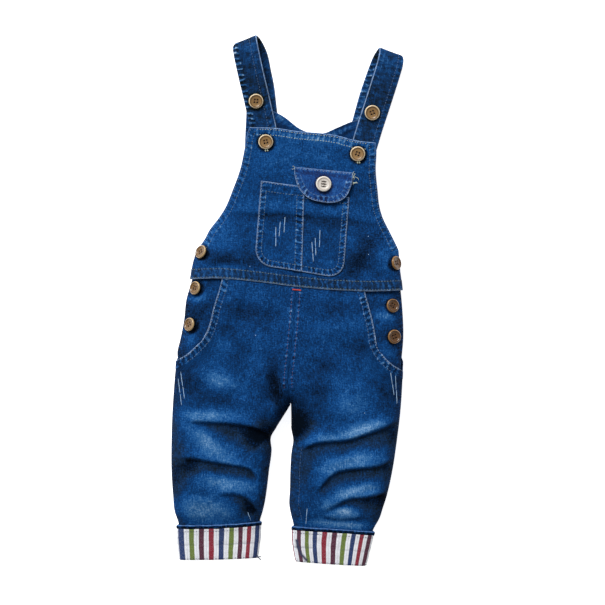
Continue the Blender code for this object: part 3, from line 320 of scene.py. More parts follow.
# Where the wash has taken colour out (above 0) or left it (below 0), and where light and shade of folds, creases,
# hollows and the flap are painted in as paler and darker patches: the patch's centre, half its length and
# half its width, and its length's turn from +X in degrees.
FADES = table(
    Fade,
    # bib
    (-6, 172, 76, 18, -6, 0.2), (35, 190.5, 48, 6, -7, 0.46), (-78, 76, 20, 22, 50, 0.18),
    (-60, 47, 40, 10, -6, -0.42), (-77, 38.5, 20, 4, 4, 0.4), (86, 50, 34, 13, 60, -0.59),
    (92, 130, 14, 30, 0, -0.07), (98, 92, 12, 18, 0, 0.1), (111, 56, 12, 14, 30, 0.24),
    # the crease where it crosses the pocket, painted as a highlight above it and shade below, the painted shadow
    # under the flap, and the pocket's foot
    (0, 112, 30, 5, -4, 0.24), (50, 106, 24, 4.5, -5, 0.16), (0, 96, 32, 7, -5, -0.26), (52, 90, 28, 7, -7, -0.26),
    (42, 116, 27, 4.5, -6, -0.34), (-14, 50, 22, 8, -10, 0.14), (45, 44, 14, 4, -8, 0.22),
    # waist and hips
    (-75, 31, 20, 6, 0, 0.26), (73, 20, 16, 6, -3, 0.34), (-47, -14, 24, 10, -10, -0.31),
    (-74, -33, 10, 8, 0, -0.22), (-76, -52, 9, 7, 0, 0.2), (-57, -64, 8, 14, -20, -0.14),
    (-36, -62, 16, 14, 0, 0.13), (-60, 6, 26, 6, -6, 0.12), (59, -11, 24, 9, 4, -0.26), (76, -31, 15, 7, 4, 0.24),
    (39, -38, 18, 12, 0, 0.1), (82, -57, 15, 10, 0, -0.3), (45, -80, 14, 8, 0, -0.18), (93, -82, 12, 12, 0, 0.12),
    (60, 5, 26, 5, 0, 0.12),
    # side openings
    (-107, 3, 14, 5.5, 12, 0.62), (-106, -16, 14, 8, 20, -0.2), (-116, -46, 9, 8, 0, 0.5),
    (114, -18, 18, 7, 0, 0.5), (121, -60, 13, 8, -10, 0.34), (110, -40, 10, 8, -10, -0.22),
    # right leg: fades, and dark patches, mostly in the hollows, partly wash and partly painted shade
    (-80, -94, 23, 12, -25, 0.58), (-116, -96, 14, 20, 0, -0.4), (-84, -116, 30, 8, -8, -0.22),
    (-94, -134.5, 30, 6, -2, 0.5), (-62, -131, 22, 8, -10, 0.12), (-92, -168, 34, 10.5, -40, 0.74),
    (-48, -182, 22, 5, -12, 0.16), (-126, -166, 8, 20, 0, -0.04), (-130, -206, 10, 22, 0, -0.4),
    (-74, -214, 38, 10, -8, 0.65), (-98, -246, 36, 15, -4, 0.74), (-36, -161, 17, 11, -10, -0.36),
    (-116, -201, 13, 12, 0, -0.34), (-60, -201.5, 24, 5.5, -9, -0.3), (-41, -244, 11, 12, -30, -0.3),
    (-14, -106, 8, 26, 10, -0.8), (-28, -152, 12, 14, 0, -0.5),
    # left leg: fades, and dark patches, mostly in the hollows, partly wash and partly painted shade
    (76, -122, 20, 17, 0, 0.42), (60, -98, 26, 10, 0, 0.14), (34, -108, 18, 20, 0, -0.3),
    (14, -146, 13, 17, 0, -1.1), (20, -194, 10, 26, 0, -0.3), (86, -151, 28, 6.5, 18, 0.66),
    (42, -160, 24, 4.5, 0, 0.3), (72, -188, 34, 9, 14, 0.54), (30, -205, 16, 5, 52, 0.14),
    (80, -223, 28, 7, 14, 0.66), (44, -238, 16, 5.5, 40, 0.32), (66, -248, 15, 6.5, 0, 0.93),
    (60, -264, 38, 5.5, -4, 0.86), (19, -167, 12, 3.4, 14, 0.42), (108, -171, 12, 8, 0, -0.18),
    (122, -156, 8, 14, 0, -0.3), (112, -110, 16, 18, 0, -0.32),
)
BACK_FADES = table(
    Fade, (-60, -40, 30, 26, 20, 0.22), (66, -44, 30, 26, -20, 0.22), (-80, -170, 30, 14, -20, 0.34),
    (76, -176, 30, 14, 18, 0.34), (-78, -230, 34, 12, -4, 0.2), (62, -238, 30, 12, 8, 0.2),
    (10, 90, 50, 30, 0, 0.1),
    # inside the neck
    (-10, 216, 7, 5, -50, 0.66), (-8, 206, 12, 4, -30, -0.44), (10, 202, 12, 4, -40, 0.34),
    (54, 197, 14, 3, 20, 0.34), (66, 206.5, 16, 2.2, 24, -0.7), (72, 199.5, 14, 2, 30, -0.6),
    (70, 203, 12, 2, 26, 0.3),
)

# The straps' middle lines from the end under the bib, up over the fold, and down to the root under the back.
# turn is the angle of the strap's width from +X, in degrees.
STRAP_WIDTH = 29.4
STRAP_RIGHT = table(
    StrapSection, (-22.6, 166, 6.5, 13), (-25.4, 180, 6.5, 13), (-29, 203, 6.9, 13), (-33.6, 223, 9, 13),
    (-38, 242.5, 11.4, 13), (-42.9, 263, 13.8, 13.5), (-47.4, 283.2, 16.2, 15), (-50, 296.5, 17.2, 18.5),
    (-51, 303.5, 14.6, 21), (-50.8, 306.2, 9.4, 22), (-47, 302.8, 3.6, 23), (-42.4, 295, 1.5, 22),
    (-38.4, 285, 1.1, 18), (-35.4, 270, 1.1, 12), (-31.6, 251, 1.1, 8.5), (-28.4, 224, 1.1, 7),
    (-25.6, 200.5, 1.1, 7),
)
STRAP_LEFT = table(
    StrapSection, (82, 154.5, 6.5, -16.6), (86.6, 170, 6.5, -16.6), (91.6, 187, 6.9, -16.6),
    (97.5, 206.5, 9, -16.6), (104.6, 228, 11.4, -16.6), (111.4, 249.2, 13.8, -16.6), (117.6, 269, 16, -17.5),
    (121, 281.5, 17, -19), (122, 289, 14.4, -20), (121.6, 292, 9.4, -20.5), (118.6, 288.4, 3.6, -20.5),
    (114.4, 281, 1.5, -20.5), (110.4, 271, 1.1, -20), (105.4, 257, 1.1, -18.5), (99, 238, 1.1, -18),
    (90.4, 207, 1.1, -18), (84.6, 186.5, 1.1, -18),
)

# Where the buttons sit, their diameters, how far each leans over its side edge in degrees, and what carries it.
BUTTONS = table(
    ButtonPlace, ("button_bib_right", -26.3, 186.4, 17.4, 0, "front"),
    ("button_bib_left", 82.2, 172.2, 17.6, 0, "front"), ("button_armhole_right", -101.2, 56, 16, -9, "front"),
    ("button_armhole_left", 125.8, 43.3, 16.4, 12, "front"),
    ("button_hip_upper_right", -107.4, 13.7, 15.8, -12, "facing"),
    ("button_hip_lower_right", -113.3, -29.3, 15.8, -12, "facing"),
    ("button_hip_upper_left", 122.2, -6.7, 16, 3, "facing"),
    ("button_hip_lower_left", 124.2, -43, 16.4, 2, "facing"), ("button_flap", 41.8, 136.2, 18.2, 0, "flap"),
)
# How far each button is turned about its middle, in degrees.
SPINS = [12.0, -20.0, 35.0, 8.0, -14.0, 28.0, -32.0, 17.0, 45.0, -6.0, 22.0]
# Each strap's row FOLD_ROW is its outer corner, drawn in by the share corner.  Then come the puckers along its
# outer edge, along its inner edge and behind the fold, the streaks in its wash, how much paler it is near its
# root, how far its stitches lie in from its +X edge, and its button.
FOLD_ROW = 8.7
STRAPS = table(
    Strap,
    ("right", -1, STRAP_RIGHT, 0.24, 1.6, 0.3, 0.2, 0.14, 0.0, 8.6, StrapButton(3.63, -0.10, 17.2)),
    ("left", 1, STRAP_LEFT, 0.11, 0.4, 0.4, 1.0, 0.24, 0.22, 6.2, StrapButton(3.65, -0.18, 17.8)),
)

# Axes on the front: a corner, the angle of the width below +X and that of the depth from -Y, in degrees.
POCKET_AXES = Axes(-31.5, 140.1, 8.0, 4.5)
FLAP_AXES = Axes(7.8, 156.6, 5.8, 0.0)
POCKET_WIDTH, POCKET_ROUND = 105.0, 19.0
POCKET_DEPTH, POCKET_DEEPER = 98.2, 2.4  # at its right side, and how much deeper at its left one
POCKET_LAP_FROM, POCKET_LAP_TO = 42.5, 51.0  # at its top, the right half laps over the left one between these
POCKET_LAP_DRIFT = 5.0  # how far both lie further to the left at its foot
POCKET_LEFT_TOP = 5.0  # the flapped half starts this much lower
FLAP_WIDTH, FLAP_DEPTH = 68.6, 38.7
FLAP_LIFT = 4.2  # how far the flap stands above the bib where it lies on the pocket
FLAP_LIFT_OVER = 16.0  # the depth over which it gets there

WAISTBAND_WIDTH = 12.6
BAND_END_GAP, BAND_END_CLOTH = 0.06, 0.35  # the waistband's gap and thickness at its two ends
LEGS = table(
    Leg,
    ("right", -1, SIDE_RIGHT, INSEAM_RIGHT, POCKET_MOUTH_RIGHT,
     table(Station, (-265.4, -131), (-264.4, -80), (-260.8, -32)),
     table(Station, (-306.2, -128), (-305.6, -80), (-303.6, -36))),
    ("left", 1, SIDE_LEFT, INSEAM_LEFT, POCKET_MOUTH_LEFT,
     table(Station, (-266.6, 4.6), (-269.6, 52), (-273, 99)),
     table(Station, (-308, 8), (-311, 50), (-313.4, 92))),
)
LEG_SHORT_OF_CUFF = 4.0  # a leg ends this far above its cuff's fold
CUFF_EDGE_WIDTH = 4.0  # the denim that shows above the striped facing
CUFF_FLARE = 0.8  # how much further off the leg a cuff's upper end stands than its fold
CUFF_ROWS, CUFF_EDGE_ROWS, CUFF_STITCH_ROWS = 26, 7, 15
MOUTH_ROOM = 16.0  # between the pocket mouth's foot and the leg's highest level row
FACING_UNDER = 14.0  # how far the hip facing reaches under the leg's pocket mouth
FACING_BELOW = 4.0  # and how far below the foot of that mouth
FACING_GAP = 1.1  # between the facing and the cloth over it
# The centre front seam, from the crotch to the waist.
CENTRE_SEAM = table(Station, (CROTCH_Y, 3), (-105, 0.4), (-60, 3.6), (-20, 7.4), (22, 10.6))

BREAK = 2.4  # half the width over which a crest drops into the hollow under it
CREST_REACH = 45.0  # further from its line than this, a crest adds nothing
HEM_RISE = 0.32  # what a turned hem adds to the cloth's outer face
FAR = 1000.0  # a distance to no hem at all
FLY_ROWS = 4.6  # how far the fly's two rows of stitching lie from the centre seam
BACK_SEAM_ROWS = 4.8  # and those of the centre back seam
PULL_PITCH = 6.6  # between the puckers along a topstitched hem
AGED = 0.15  # how far the blue has turned greyer on the straps, the waistband and in the legs' hollows
AGED_BELOW = -136.0  # where the legs' hollows start to be aged
RIM_BULGE = 0.25  # how far a wall's rim bulges, as a share of its thickness
STITCH, STITCH_GAP, THREAD = 2.5, 0.8, 0.55  # a stitch, the gap after it and its thickness, unless said
STITCH_LIFT = 0.12  # above the cloth's outer face, unless said
THREAD_SIDES, BUTTON_SIDES = 6, 64
STRIPE_PITCH, STRIPE_WIDTH = 12.0, 6.1  # between the cuffs' coloured stripes at their middle, and each one's width
# How the stripes lie across each cuff's front, from -1 to 1: the place and number of the middle one, the count in
# one half's width, and how much they crowd to the low and the high side.
STRIPE_LAYS = {
    "right": StripeLay(0.07, 4.5, 3.93, 0.035, 0.24),
    "left": StripeLay(0.048, 6.5, -3.80, 0.19, 0.25),
}
# The soft fold at the left cuff's lower inner corner, painted on the stripes as a line of shade.
CUFF_CURL = np.array([(11.4, -283.0), (13.0, -292.0), (16.6, -300.0), (22.0, -306.5)])


# Shapes


def column(rows, name):
    return np.array([getattr(row, name) for row in rows], float)


def joined(*parts):
    """Numbers side by side, as points or rows; each part is an array, or one number for all."""
    return np.stack(np.broadcast_arrays(*parts), axis=-1)


def smooth(at, value, where):
    """A cubic through (at, value) with the slopes of its neighbours; at rises."""
    slope = np.gradient(value, at)
    where = np.clip(np.asarray(where, float), at[0], at[-1])
    i = np.clip(np.searchsorted(at, where) - 1, 0, len(at) - 2)
    step = at[i + 1] - at[i]
    t = (where - at[i]) / step
    return (
        (1 + 2 * t) * (1 - t) ** 2 * value[i]
        + t * (1 - t) ** 2 * step * slope[i]
        + t * t * (3 - 2 * t) * value[i + 1]
        + t * t * (t - 1) * step * slope[i + 1]
    )


def through(values, where):
    """The cubic through values that stand at 0, 1, 2 and so on."""
    return smooth(np.arange(len(values), dtype=float), values, where)


def curved(path):
    """A smooth line through a path's points, with six points for each."""
    fine = np.linspace(0, len(path) - 1, 6 * len(path))
    return joined(*(through(values, fine) for values in np.array(path, float).T))


def x_along(rows, y):
    return smooth(column(rows, "y"), column(rows, "x"), y)


def y_across(rows, x):
    return smooth(column(rows, "x"), column(rows, "y"), x)


def height_of(name, y):
    return smooth(column(SECTIONS, "y"), column(SECTIONS, name), y)


def ease(t):
    """0 below 0, 1 above 1, and smooth between."""
    t = np.clip(t, 0, 1)
    return t * t * (3 - 2 * t)


def bell(away, reach):
    """1 where away is 0, and next to nothing beyond twice the reach."""
    return np.exp(-((away / reach) ** 2))


def unit(vectors):
    return vectors / np.linalg.norm(vectors, axis=-1, keepdims=True)


def spread(count):
    """Shares from 0 to 1, somewhat closer together at both ends: part even, part a half turn's cosine."""
    even = np.linspace(0, 1, count)
    return 0.35 * even + 0.65 * (1 - np.cos(np.pi * even)) / 2


def waves(x, y, size, seed):
    """Soft unevenness from about -1 to 1: the sum of ten waves of about the given length, in seeded directions."""
    rng = np.random.default_rng(seed)
    turns, phases = rng.uniform(0, 2 * np.pi, (2, 10))
    lengths = size * rng.uniform(0.7, 1.5, 10)
    total = np.zeros(np.shape(x))
    for turn, phase, length in zip(turns, phases, lengths):
        total += np.cos((x * math.cos(turn) + y * math.sin(turn)) * 2 * np.pi / length + phase)
    return total / 4.5


def bells(folds, x, y):
    """The sum of all ridges and troughs: a bell across each line, which fades towards both its ends."""
    total = np.zeros(np.shape(x))
    for fold in folds:
        run_x, run_y = fold.x1 - fold.x0, fold.y1 - fold.y0
        length = np.hypot(run_x, run_y)
        along = ((x - fold.x0) * run_x + (y - fold.y0) * run_y) / length**2
        above = (1 if run_x > 0 else -1) * ((y - fold.y0) * run_x - (x - fold.x0) * run_y) / length
        above = above - fold.bow * 4 * along * (1 - along)
        taper = ease((along + 0.12) / 0.3) * ease((1.12 - along) / 0.3)
        total += fold.height * taper * bell(above, np.where(above > 0, fold.up, fold.down))
    return total


def patches(fades, x, y):
    """The sum of round-edged patches: a bell over each one's own length and width."""
    total = np.zeros(np.shape(x))
    for fade in fades:
        cos, sin = math.cos(math.radians(fade.turn)), math.sin(math.radians(fade.turn))
        along = (x - fade.x) * cos + (y - fade.y) * sin
        across = (y - fade.y) * cos - (x - fade.x) * sin
        total += fade.amount * np.exp(-((along / fade.long) ** 2) - (across / fade.wide) ** 2)
    return total


def crests(x, y, *names):
    """What the breaking folds add, by the names of four sizes: how far a fold reaches above its line and below
    it, and how much it rises and falls.  Above each line stands a bell and under it a negative one, joined over
    the break."""
    total = np.zeros(np.shape(x))
    for crest in CRESTS:
        line = curved(crest.line)
        low, high = line.min(axis=0) - CREST_REACH, line.max(axis=0) + CREST_REACH
        near = (x > low[0]) & (x < high[0]) & (y > low[1]) & (y < high[1])
        away, along, left = to_line(x[near], y[near], line)
        share = along / arcs(line, 0)[-1]
        ends = (getattr(crest, name) for name in names)
        above, below, rise, fall = (start + (end - start) * share for start, end in ends)
        upper, lower = rise * bell(away, above), -fall * bell(away, below)
        side = ease((away * left + BREAK) / (2 * BREAK))
        total[near] += ease(share / 0.16) * ease((1 - share) / 0.16) * (lower + (upper - lower) * side)
    return total


def outline(low, high, inset=0.0):
    """A side's x at each y: one outline up to the armhole, moved by inset along the lap, and another above it."""

    def side(y):
        return np.where(y > ARMHOLE_Y, x_along(high, y), x_along(low, y) + inset * ease((y + 74) / 12))

    return side


outer_right, outer_left = outline(SIDE_RIGHT, ARMHOLE_RIGHT), outline(SIDE_LEFT, ARMHOLE_LEFT)
back_right = outline(SIDE_RIGHT, BACK_ARMHOLE_RIGHT, LAP_INSET)
back_left = outline(SIDE_LEFT, BACK_ARMHOLE_LEFT, -LAP_INSET)
inseam_right, inseam_left = partial(x_along, INSEAM_RIGHT), partial(x_along, INSEAM_LEFT)
waist = partial(y_across, WAIST_LINE)


def below_waist(x):
    return waist(x) - HALF_GAP


def above_waist(x):
    return waist(x) + HALF_GAP


def lap_depth(y):
    """How far the front's side edge reaches down over the back, along the buttoned opening."""
    return SIDE_LAP * ease((y + 54) / 12) * ease((ARMHOLE_Y - 1 - y) / 10)


def edge_distance(x, y, right, left):
    """How far a point lies in from the nearest side edge, inseam or crotch.  A distance along X is turned into
    one from the edge by the cosine of the outline's angle from +Y."""

    def inwards(edge, sign, share=1.0):
        squarely = 1 / np.hypot(1, (edge(y + 5) - edge(y - 5)) / 10)
        return sign * (x - edge(y)) * (1 + share * (squarely - 1))

    below = ease((CROTCH_Y - y) / 25)
    on_right = x < (inseam_right(y) + inseam_left(y)) / 2
    to_inseam = np.where(on_right, inwards(inseam_right, -1, below), inwards(inseam_left, 1, below))
    inner = np.where(y > CROTCH_Y, np.hypot(x - CROTCH_X, y - CROTCH_Y), to_inseam)
    return np.maximum(np.minimum(np.minimum(inwards(right, 1), inwards(left, -1)), inner), 0)


def rounding(distance, radius, soft):
    """0 at the edge and 1 from radius inwards: a quarter circle, or a gentle droop where soft is 1."""
    left = 1 - np.clip(distance / radius, 0, 1)
    return (1 - soft) * np.sqrt(1 - left**2) + soft * (1 - left**2)


def front_height(x, y):
    """z of the front's outer face: the solid's own height, with small creases and unevenness added."""
    inwards = edge_distance(x, y, outer_right, outer_left)
    top, edge = height_of("top", y), height_of("front_edge", y) + HALF_GAP
    shape = rounding(inwards, height_of("front_round", y), np.clip(height_of("soft", y), 0, 1))
    relief = bells(FOLDS, x, y) + bells(CREASES, x, y) + crests(x, y, "up", "down", "height", "depth")
    relief += 0.38 * waves(x, y, 27, 11) + 0.16 * waves(x, y, 12, 12)
    return edge + (top - edge) * shape + relief * ease(inwards / FOLD_EDGE)


def back_height(x, y):
    """z of the back's outer face, which rests on the surface and turns up at its edges."""
    inwards = edge_distance(x, y, back_right, back_left)
    bottom = np.clip(height_of("bottom", y), 0, UNDER_STRAPS)
    edge = height_of("back_edge", y)
    lifted = 0.35 * np.clip(waves(x, y, 38, 21), 0, 1) * ease(inwards / 20)
    return edge + (bottom - edge) * rounding(inwards, BACK_ROUND, ease((y - 50) / 40)) + lifted


def out_of(height, x, y, side):
    """Unit normals of a height function, for the face whose z points along side; level where it stands up."""
    step = 0.04
    east = (height(x + step, y) - height(x - step, y)) / (2 * step)
    north = (height(x, y + step) - height(x, y - step)) / (2 * step)
    return unit(joined(-east, -north, np.where(np.hypot(east, north) > STANDS_UP, 0.0, 1.0))) * side


def laid(height, side, x, y):
    """Points of a face, and the directions out of it."""
    return joined(x, y, height(x, y)), out_of(height, x, y, side)


on_front, on_back = partial(laid, front_height, 1), partial(laid, back_height, -1)


def plan_grid(x_from, x_to, y_from, y_to, columns, rows, level_y=None, level_rows=0):
    """x and y of a panel's points.  Columns run from x_from(y) to x_to(y), closer together at both ends.
    Each column's own ends lie on y_from(x) and y_to(x), which takes a few turns to settle.  The row numbered
    level_rows can be kept level, at level_y."""
    u = spread(columns)
    ends = []
    for edge in (y_from, y_to):
        y = edge(x_from(0 * u) * (1 - u) + x_to(0 * u) * u)
        for _ in range(40):
            y = (y + edge(x_from(y) * (1 - u) + x_to(y) * u)) / 2
        ends.append(y)
    v = spread(rows)[:, None]
    y = ends[0] * (1 - v) + ends[1] * v
    if level_y is not None:
        below = np.linspace(0, 1, level_rows)[:-1, None]
        above = spread(rows - level_rows + 1)[:, None]
        y = np.concatenate([ends[0] * (1 - below) + level_y * below, level_y * (1 - above) + ends[1] * above])
    return x_from(y) * (1 - u) + x_to(y) * u, y


def grid_normals(points):
    """Unit normals of a grid, out of the side from which columns run to +X and rows to +Y."""
    return unit(np.cross(np.gradient(points, axis=1), np.gradient(points, axis=0)))


def lapped(points, out, y, signs=(-1, 1)):
    """A front's points with three more columns down its lapped sides, and the directions out of them, which
    turn level down the lap.  signs holds -1 for the right side and 1 for the left."""
    for sign in signs:
        at = y[:, 0] if sign < 0 else y[:, -1]
        edge = (outer_right if sign < 0 else outer_left)(at)
        z = height_of("front_edge", at) + HALF_GAP
        share = ease(lap_depth(at))[:, None]
        turned = unit(out_of(front_height, edge, at, 1) * (1 - share) + joined(sign + 0 * at, 0, 0) * share)
        extra = [(joined(edge, at, z - depth * lap_depth(at))[:, None], turned[:, None]) for depth in LAP_COLUMNS]
        parts = [(points, out)] + extra if sign > 0 else extra[::-1] + [(points, out)]
        points, out = (np.concatenate(columns, axis=1) for columns in zip(*parts))
    return points, out


def sampled(rows, y_from, y_to, count=70):
    """A line of points along an outline, in plan."""
    y = np.linspace(y_from, y_to, count)
    return joined(x_along(rows, y), y)


def across_line(rows, x_from, x_to, count=70):
    x = np.linspace(x_from, x_to, count)
    return joined(x, y_across(rows, x))


def moved(line, by):
    """A line in plan, moved to the left of its own run."""
    ahead = unit(np.gradient(line, axis=0))
    return line + by * joined(-ahead[:, 1], ahead[:, 0])


def arcs(points, axis):
    """Distances along a grid's rows or columns, from their first points."""
    steps = np.linalg.norm(np.diff(points, axis=axis), axis=-1)
    return np.insert(np.cumsum(steps, axis=axis), 0, 0, axis=axis)


def to_line(x, y, line):
    """Each point's distance from a line in plan, how far along the line its nearest place is, and 1 if it lies
    to the left of the line's run, or -1."""
    start, run = line[:-1], np.diff(line, axis=0)
    lengths = np.linalg.norm(run, axis=-1)
    offset = joined(x, y)[..., None, :] - start
    t = np.clip(np.sum(offset * run, axis=-1) / np.maximum(lengths, 1e-6) ** 2, 0, 1)
    gaps = np.linalg.norm(offset - t[..., None] * run, axis=-1)
    nearest = np.argmin(gaps, axis=-1)[..., None]
    along = np.insert(np.cumsum(lengths), 0, 0)[:-1] + t * lengths
    left = np.sign(run[:, 0] * offset[..., 1] - run[:, 1] * offset[..., 0])
    return [np.take_along_axis(values, nearest, -1)[..., 0] for values in (gaps, along, left)]


def hem_map(x, y, hems=()):
    """For each point, of the nearest hem: how far along it, how far in from it, its width, wear and pull."""
    found = joined(0 * x, FAR, 0, 0, 0)
    for hem in hems:
        away, along, _ = to_line(x, y, hem.line)
        found = np.where((away < found[..., 1])[..., None], joined(along, away, *hem[1:]), found)
    return found


def hem_rise(found):
    """A turned hem stands one thin step above the panel, as far in as it is wide."""
    return HEM_RISE * (1 - ease((found[..., 1] - found[..., 2]) / 1.4)) * (found[..., 2] > 0)


# Finishes


def shade(red, green, blue):
    """A screen colour of 0 to 255 as the linear colour that a shader takes."""
    parts = np.array([red, green, blue]) / 255
    linear = np.where(parts <= 0.04045, parts / 12.92, ((parts + 0.055) / 1.055) ** 2.4)
    return (*linear.tolist(), 1.0)


class Wire:
    """A socket of a finish.  Arithmetic on it adds Math nodes."""

    def __init__(self, finish, node, output=0):
        self.finish, self.node, self.socket = finish, node, node.outputs[output]

    def output(self, name):
        return Wire(self.finish, self.node, name)

    def math(self, operation, *values):
        return self.finish.node("ShaderNodeMath", {"operation": operation}, dict(enumerate(values)))

    def __add__(self, other):
        return self.math("ADD", self, other)

    def __sub__(self, other):
        return self.math("SUBTRACT", self, other)

    def __rsub__(self, other):
        return self.math("SUBTRACT", other, self)

    def __mul__(self, other):
        return self.math("MULTIPLY", self, other)

    def __truediv__(self, other):
        return self.math("DIVIDE", self, other)

    __radd__, __rmul__ = __add__, __mul__

    def wave(self):
        """From -1 to 1 and back over every whole number."""
        return self.math("COSINE", self * (2 * math.pi))

    def eased(self, low, high):
        """0 at low, 1 at high and smooth between."""
        settings = {"interpolation_type": "SMOOTHSTEP"}
        return self.finish.node("ShaderNodeMapRange", settings, {0: self, 1: low, 2: high})

    def bell(self, reach):
        """1 where the value is 0, and next to nothing beyond twice the reach."""
        share = self / reach
        return self.math("EXPONENT", share * share * -1.0)


class Finish:
    """A material on one Principled shader."""

    def __init__(self, name, roughness, specular):
        self.material = bpy.data.materials.new(name)
        self.material.use_nodes = True
        self.tree = self.material.node_tree
        self.shader = self.tree.nodes["Principled BSDF"]
        self.give("Roughness", roughness)
        self.give("Specular IOR Level", specular)

    def node(self, kind, settings, values, output=0):
        """A node of a type, with its settings made first and then the values or wires of its sockets."""
        node = self.tree.nodes.new(kind)
        for key, value in settings.items():
            setattr(node, key, value)
        for key, value in values.items():
            self.feed(node.inputs[key], value)
        return Wire(self, node, output)

    def feed(self, socket, value):
        if isinstance(value, Wire):
            self.tree.links.new(value.socket, socket)
        else:
            socket.default_value = value

    def give(self, name, value):
        self.feed(self.shader.inputs[name], value)

    def painted(self, name, output="Fac"):
        return self.node("ShaderNodeAttribute", {"attribute_name": name}, {}, output)

    def cut(self):
        """The distance along the cloth and up it, in metres."""
        return self.node("ShaderNodeUVMap", {"uv_map": "cut"}, {})

    def place(self):
        return self.node("ShaderNodeTexCoord", {}, {}, "Object")

    def split(self, vector):
        """A vector's first part; the others are its outputs Y and Z."""
        return self.node("ShaderNodeSeparateXYZ", {}, {0: vector}, "X")

    def stretched(self, vector, along, up):
        return self.node("ShaderNodeVectorMath", {"operation": "MULTIPLY"}, {0: vector, 1: (along, up, 1.0)})

    def noise(self, vector, scale, detail=2.0, rough=0.5):
        """Noise from about -1 to 1."""
        values = {"Vector": vector, "Scale": scale, "Detail": detail, "Roughness": rough}
        return (self.node("ShaderNodeTexNoise", {}, values) - 0.5) * 2.0

    def ramp(self, value, stops, between="LINEAR"):
        """Colours at rising places; the node comes with its first and last stop."""
        wire = self.node("ShaderNodeValToRGB", {}, {"Fac": value}, "Color")
        ramp = wire.node.color_ramp
        ramp.interpolation = between
        for element, (position, colour) in zip(ramp.elements, (stops[0], stops[-1])):
            element.position, element.color = position, colour
        for position, colour in stops[1:-1]:
            ramp.elements.new(position).color = colour
        return wire

    def mixed(self, share, first, second):
        settings = {"data_type": "RGBA", "blend_type": "MIX", "clamp_factor": True}
        return self.node("ShaderNodeMix", settings, {0: share, 6: first, 7: second}, 2)

    def bumps(self, height, depth):
        """height is in shares of depth, which is in metres."""
        values = {"Height": height, "Distance": depth, "Strength": 1.0}
        self.give("Normal", self.node("ShaderNodeBump", {}, values, "Normal"))


def denim_finish():
    """Washed indigo: a ramp from near black to white thread, read at a base value with the wash and the painted
    light and shade of folds, creases and buttons, the slubs, the puckers of the hems and their worn edges added.
    A tint above 0 greys the blue, and one below 0 turns it to violet."""
    finish = Finish("washed_denim", 0.86, 0.03)
    cut = finish.cut()
    slubs = finish.noise(finish.stretched(cut, 1.0, 0.24), 620.0, 2.0, 0.6)
    weft = finish.noise(finish.stretched(cut, 0.24, 1.0), 700.0, 1.0, 0.5)
    grain = finish.noise(cut, 540.0, 2.0, 0.7)
    fine = finish.noise(cut, 1100.0, 1.0, 0.5)
    mottled = finish.noise(cut, 150.0, 2.0, 0.6)
    cloudy = finish.noise(cut, 75.0, 3.0, 0.6)
    broad = finish.noise(cut, 24.0, 2.0, 0.5)

    along = finish.split(finish.painted("seam", "Vector"))
    away, width = along.output("Y"), along.output("Z")
    in_hem = (1.0 - (away - width).eased(-0.6, 0.9)) * width.math("GREATER_THAN", width, 0.5)
    pulls = (along / PULL_PITCH + away * 0.03 + finish.noise(cut, 110.0, 1.0) * 0.5).wave()
    strength = finish.painted("pull") * in_hem * finish.noise(cut, 120.0, 2.0).eased(-0.6, 0.4) * 1.15
    blotches = finish.noise(cut, 230.0, 2.0) * in_hem
    worn = finish.painted("worn") * (0.72 + mottled * 0.7)
    edge = (away - 0.25).bell(0.27) * worn
    inner_line = (away - width + 0.8).bell(0.8) * worn

    # the painted attribute holds the wash together with painted highlight and shade of folds, creases and buttons
    wash = finish.painted("wash")
    frosted = wash.eased(0.0, 0.6)
    value = 0.375 + wash * 0.44 + mottled * 0.06 + cloudy * 0.08 + broad * 0.07
    value = value + slubs * (0.22 - frosted * 0.03) + grain * (0.33 - frosted * 0.09) + fine * 0.16 + weft * 0.11
    value = value + strength * pulls.eased(-0.2, 1.0) * 0.38 - strength.eased(0.0, 1.3) * 0.13
    value = value + blotches * 0.22 + inner_line * 0.08
    stops = [
        (0.0, shade(2, 9, 20)),
        (0.10, shade(5, 19, 39)),
        (0.22, shade(12, 37, 69)),
        (0.36, shade(12, 52, 100)),
        (0.50, shade(18, 73, 134)),
        (0.64, shade(48, 100, 153)),
        (0.78, shade(95, 137, 181)),
        (0.90, shade(140, 171, 203)),
        (1.0, shade(188, 205, 220)),
    ]
    colour = finish.ramp(value, stops)
    tint = finish.painted("tint")
    colour = finish.mixed(tint, colour, shade(44, 54, 40))
    colour = finish.mixed(tint * -1.0, colour, shade(76, 70, 150))
    colour = finish.mixed(edge, colour, shade(156, 184, 222))
    back = finish.mixed(finish.noise(cut, 700.0, 2.0).eased(-0.5, 0.7), shade(10, 34, 72), shade(34, 68, 114))
    finish.give("Base Color", finish.mixed(finish.painted("inside") * 0.35, colour, back))
    across = finish.split(cut)
    twill = ((across + across.output("Y") * 0.62) / 0.0011).wave()
    height = twill * 0.16 + slubs * 0.34 + grain * 0.45 + fine * 0.2 + strength * pulls * 1.1 + cloudy * 0.6
    finish.bumps(height, 0.00045)
    return finish.material


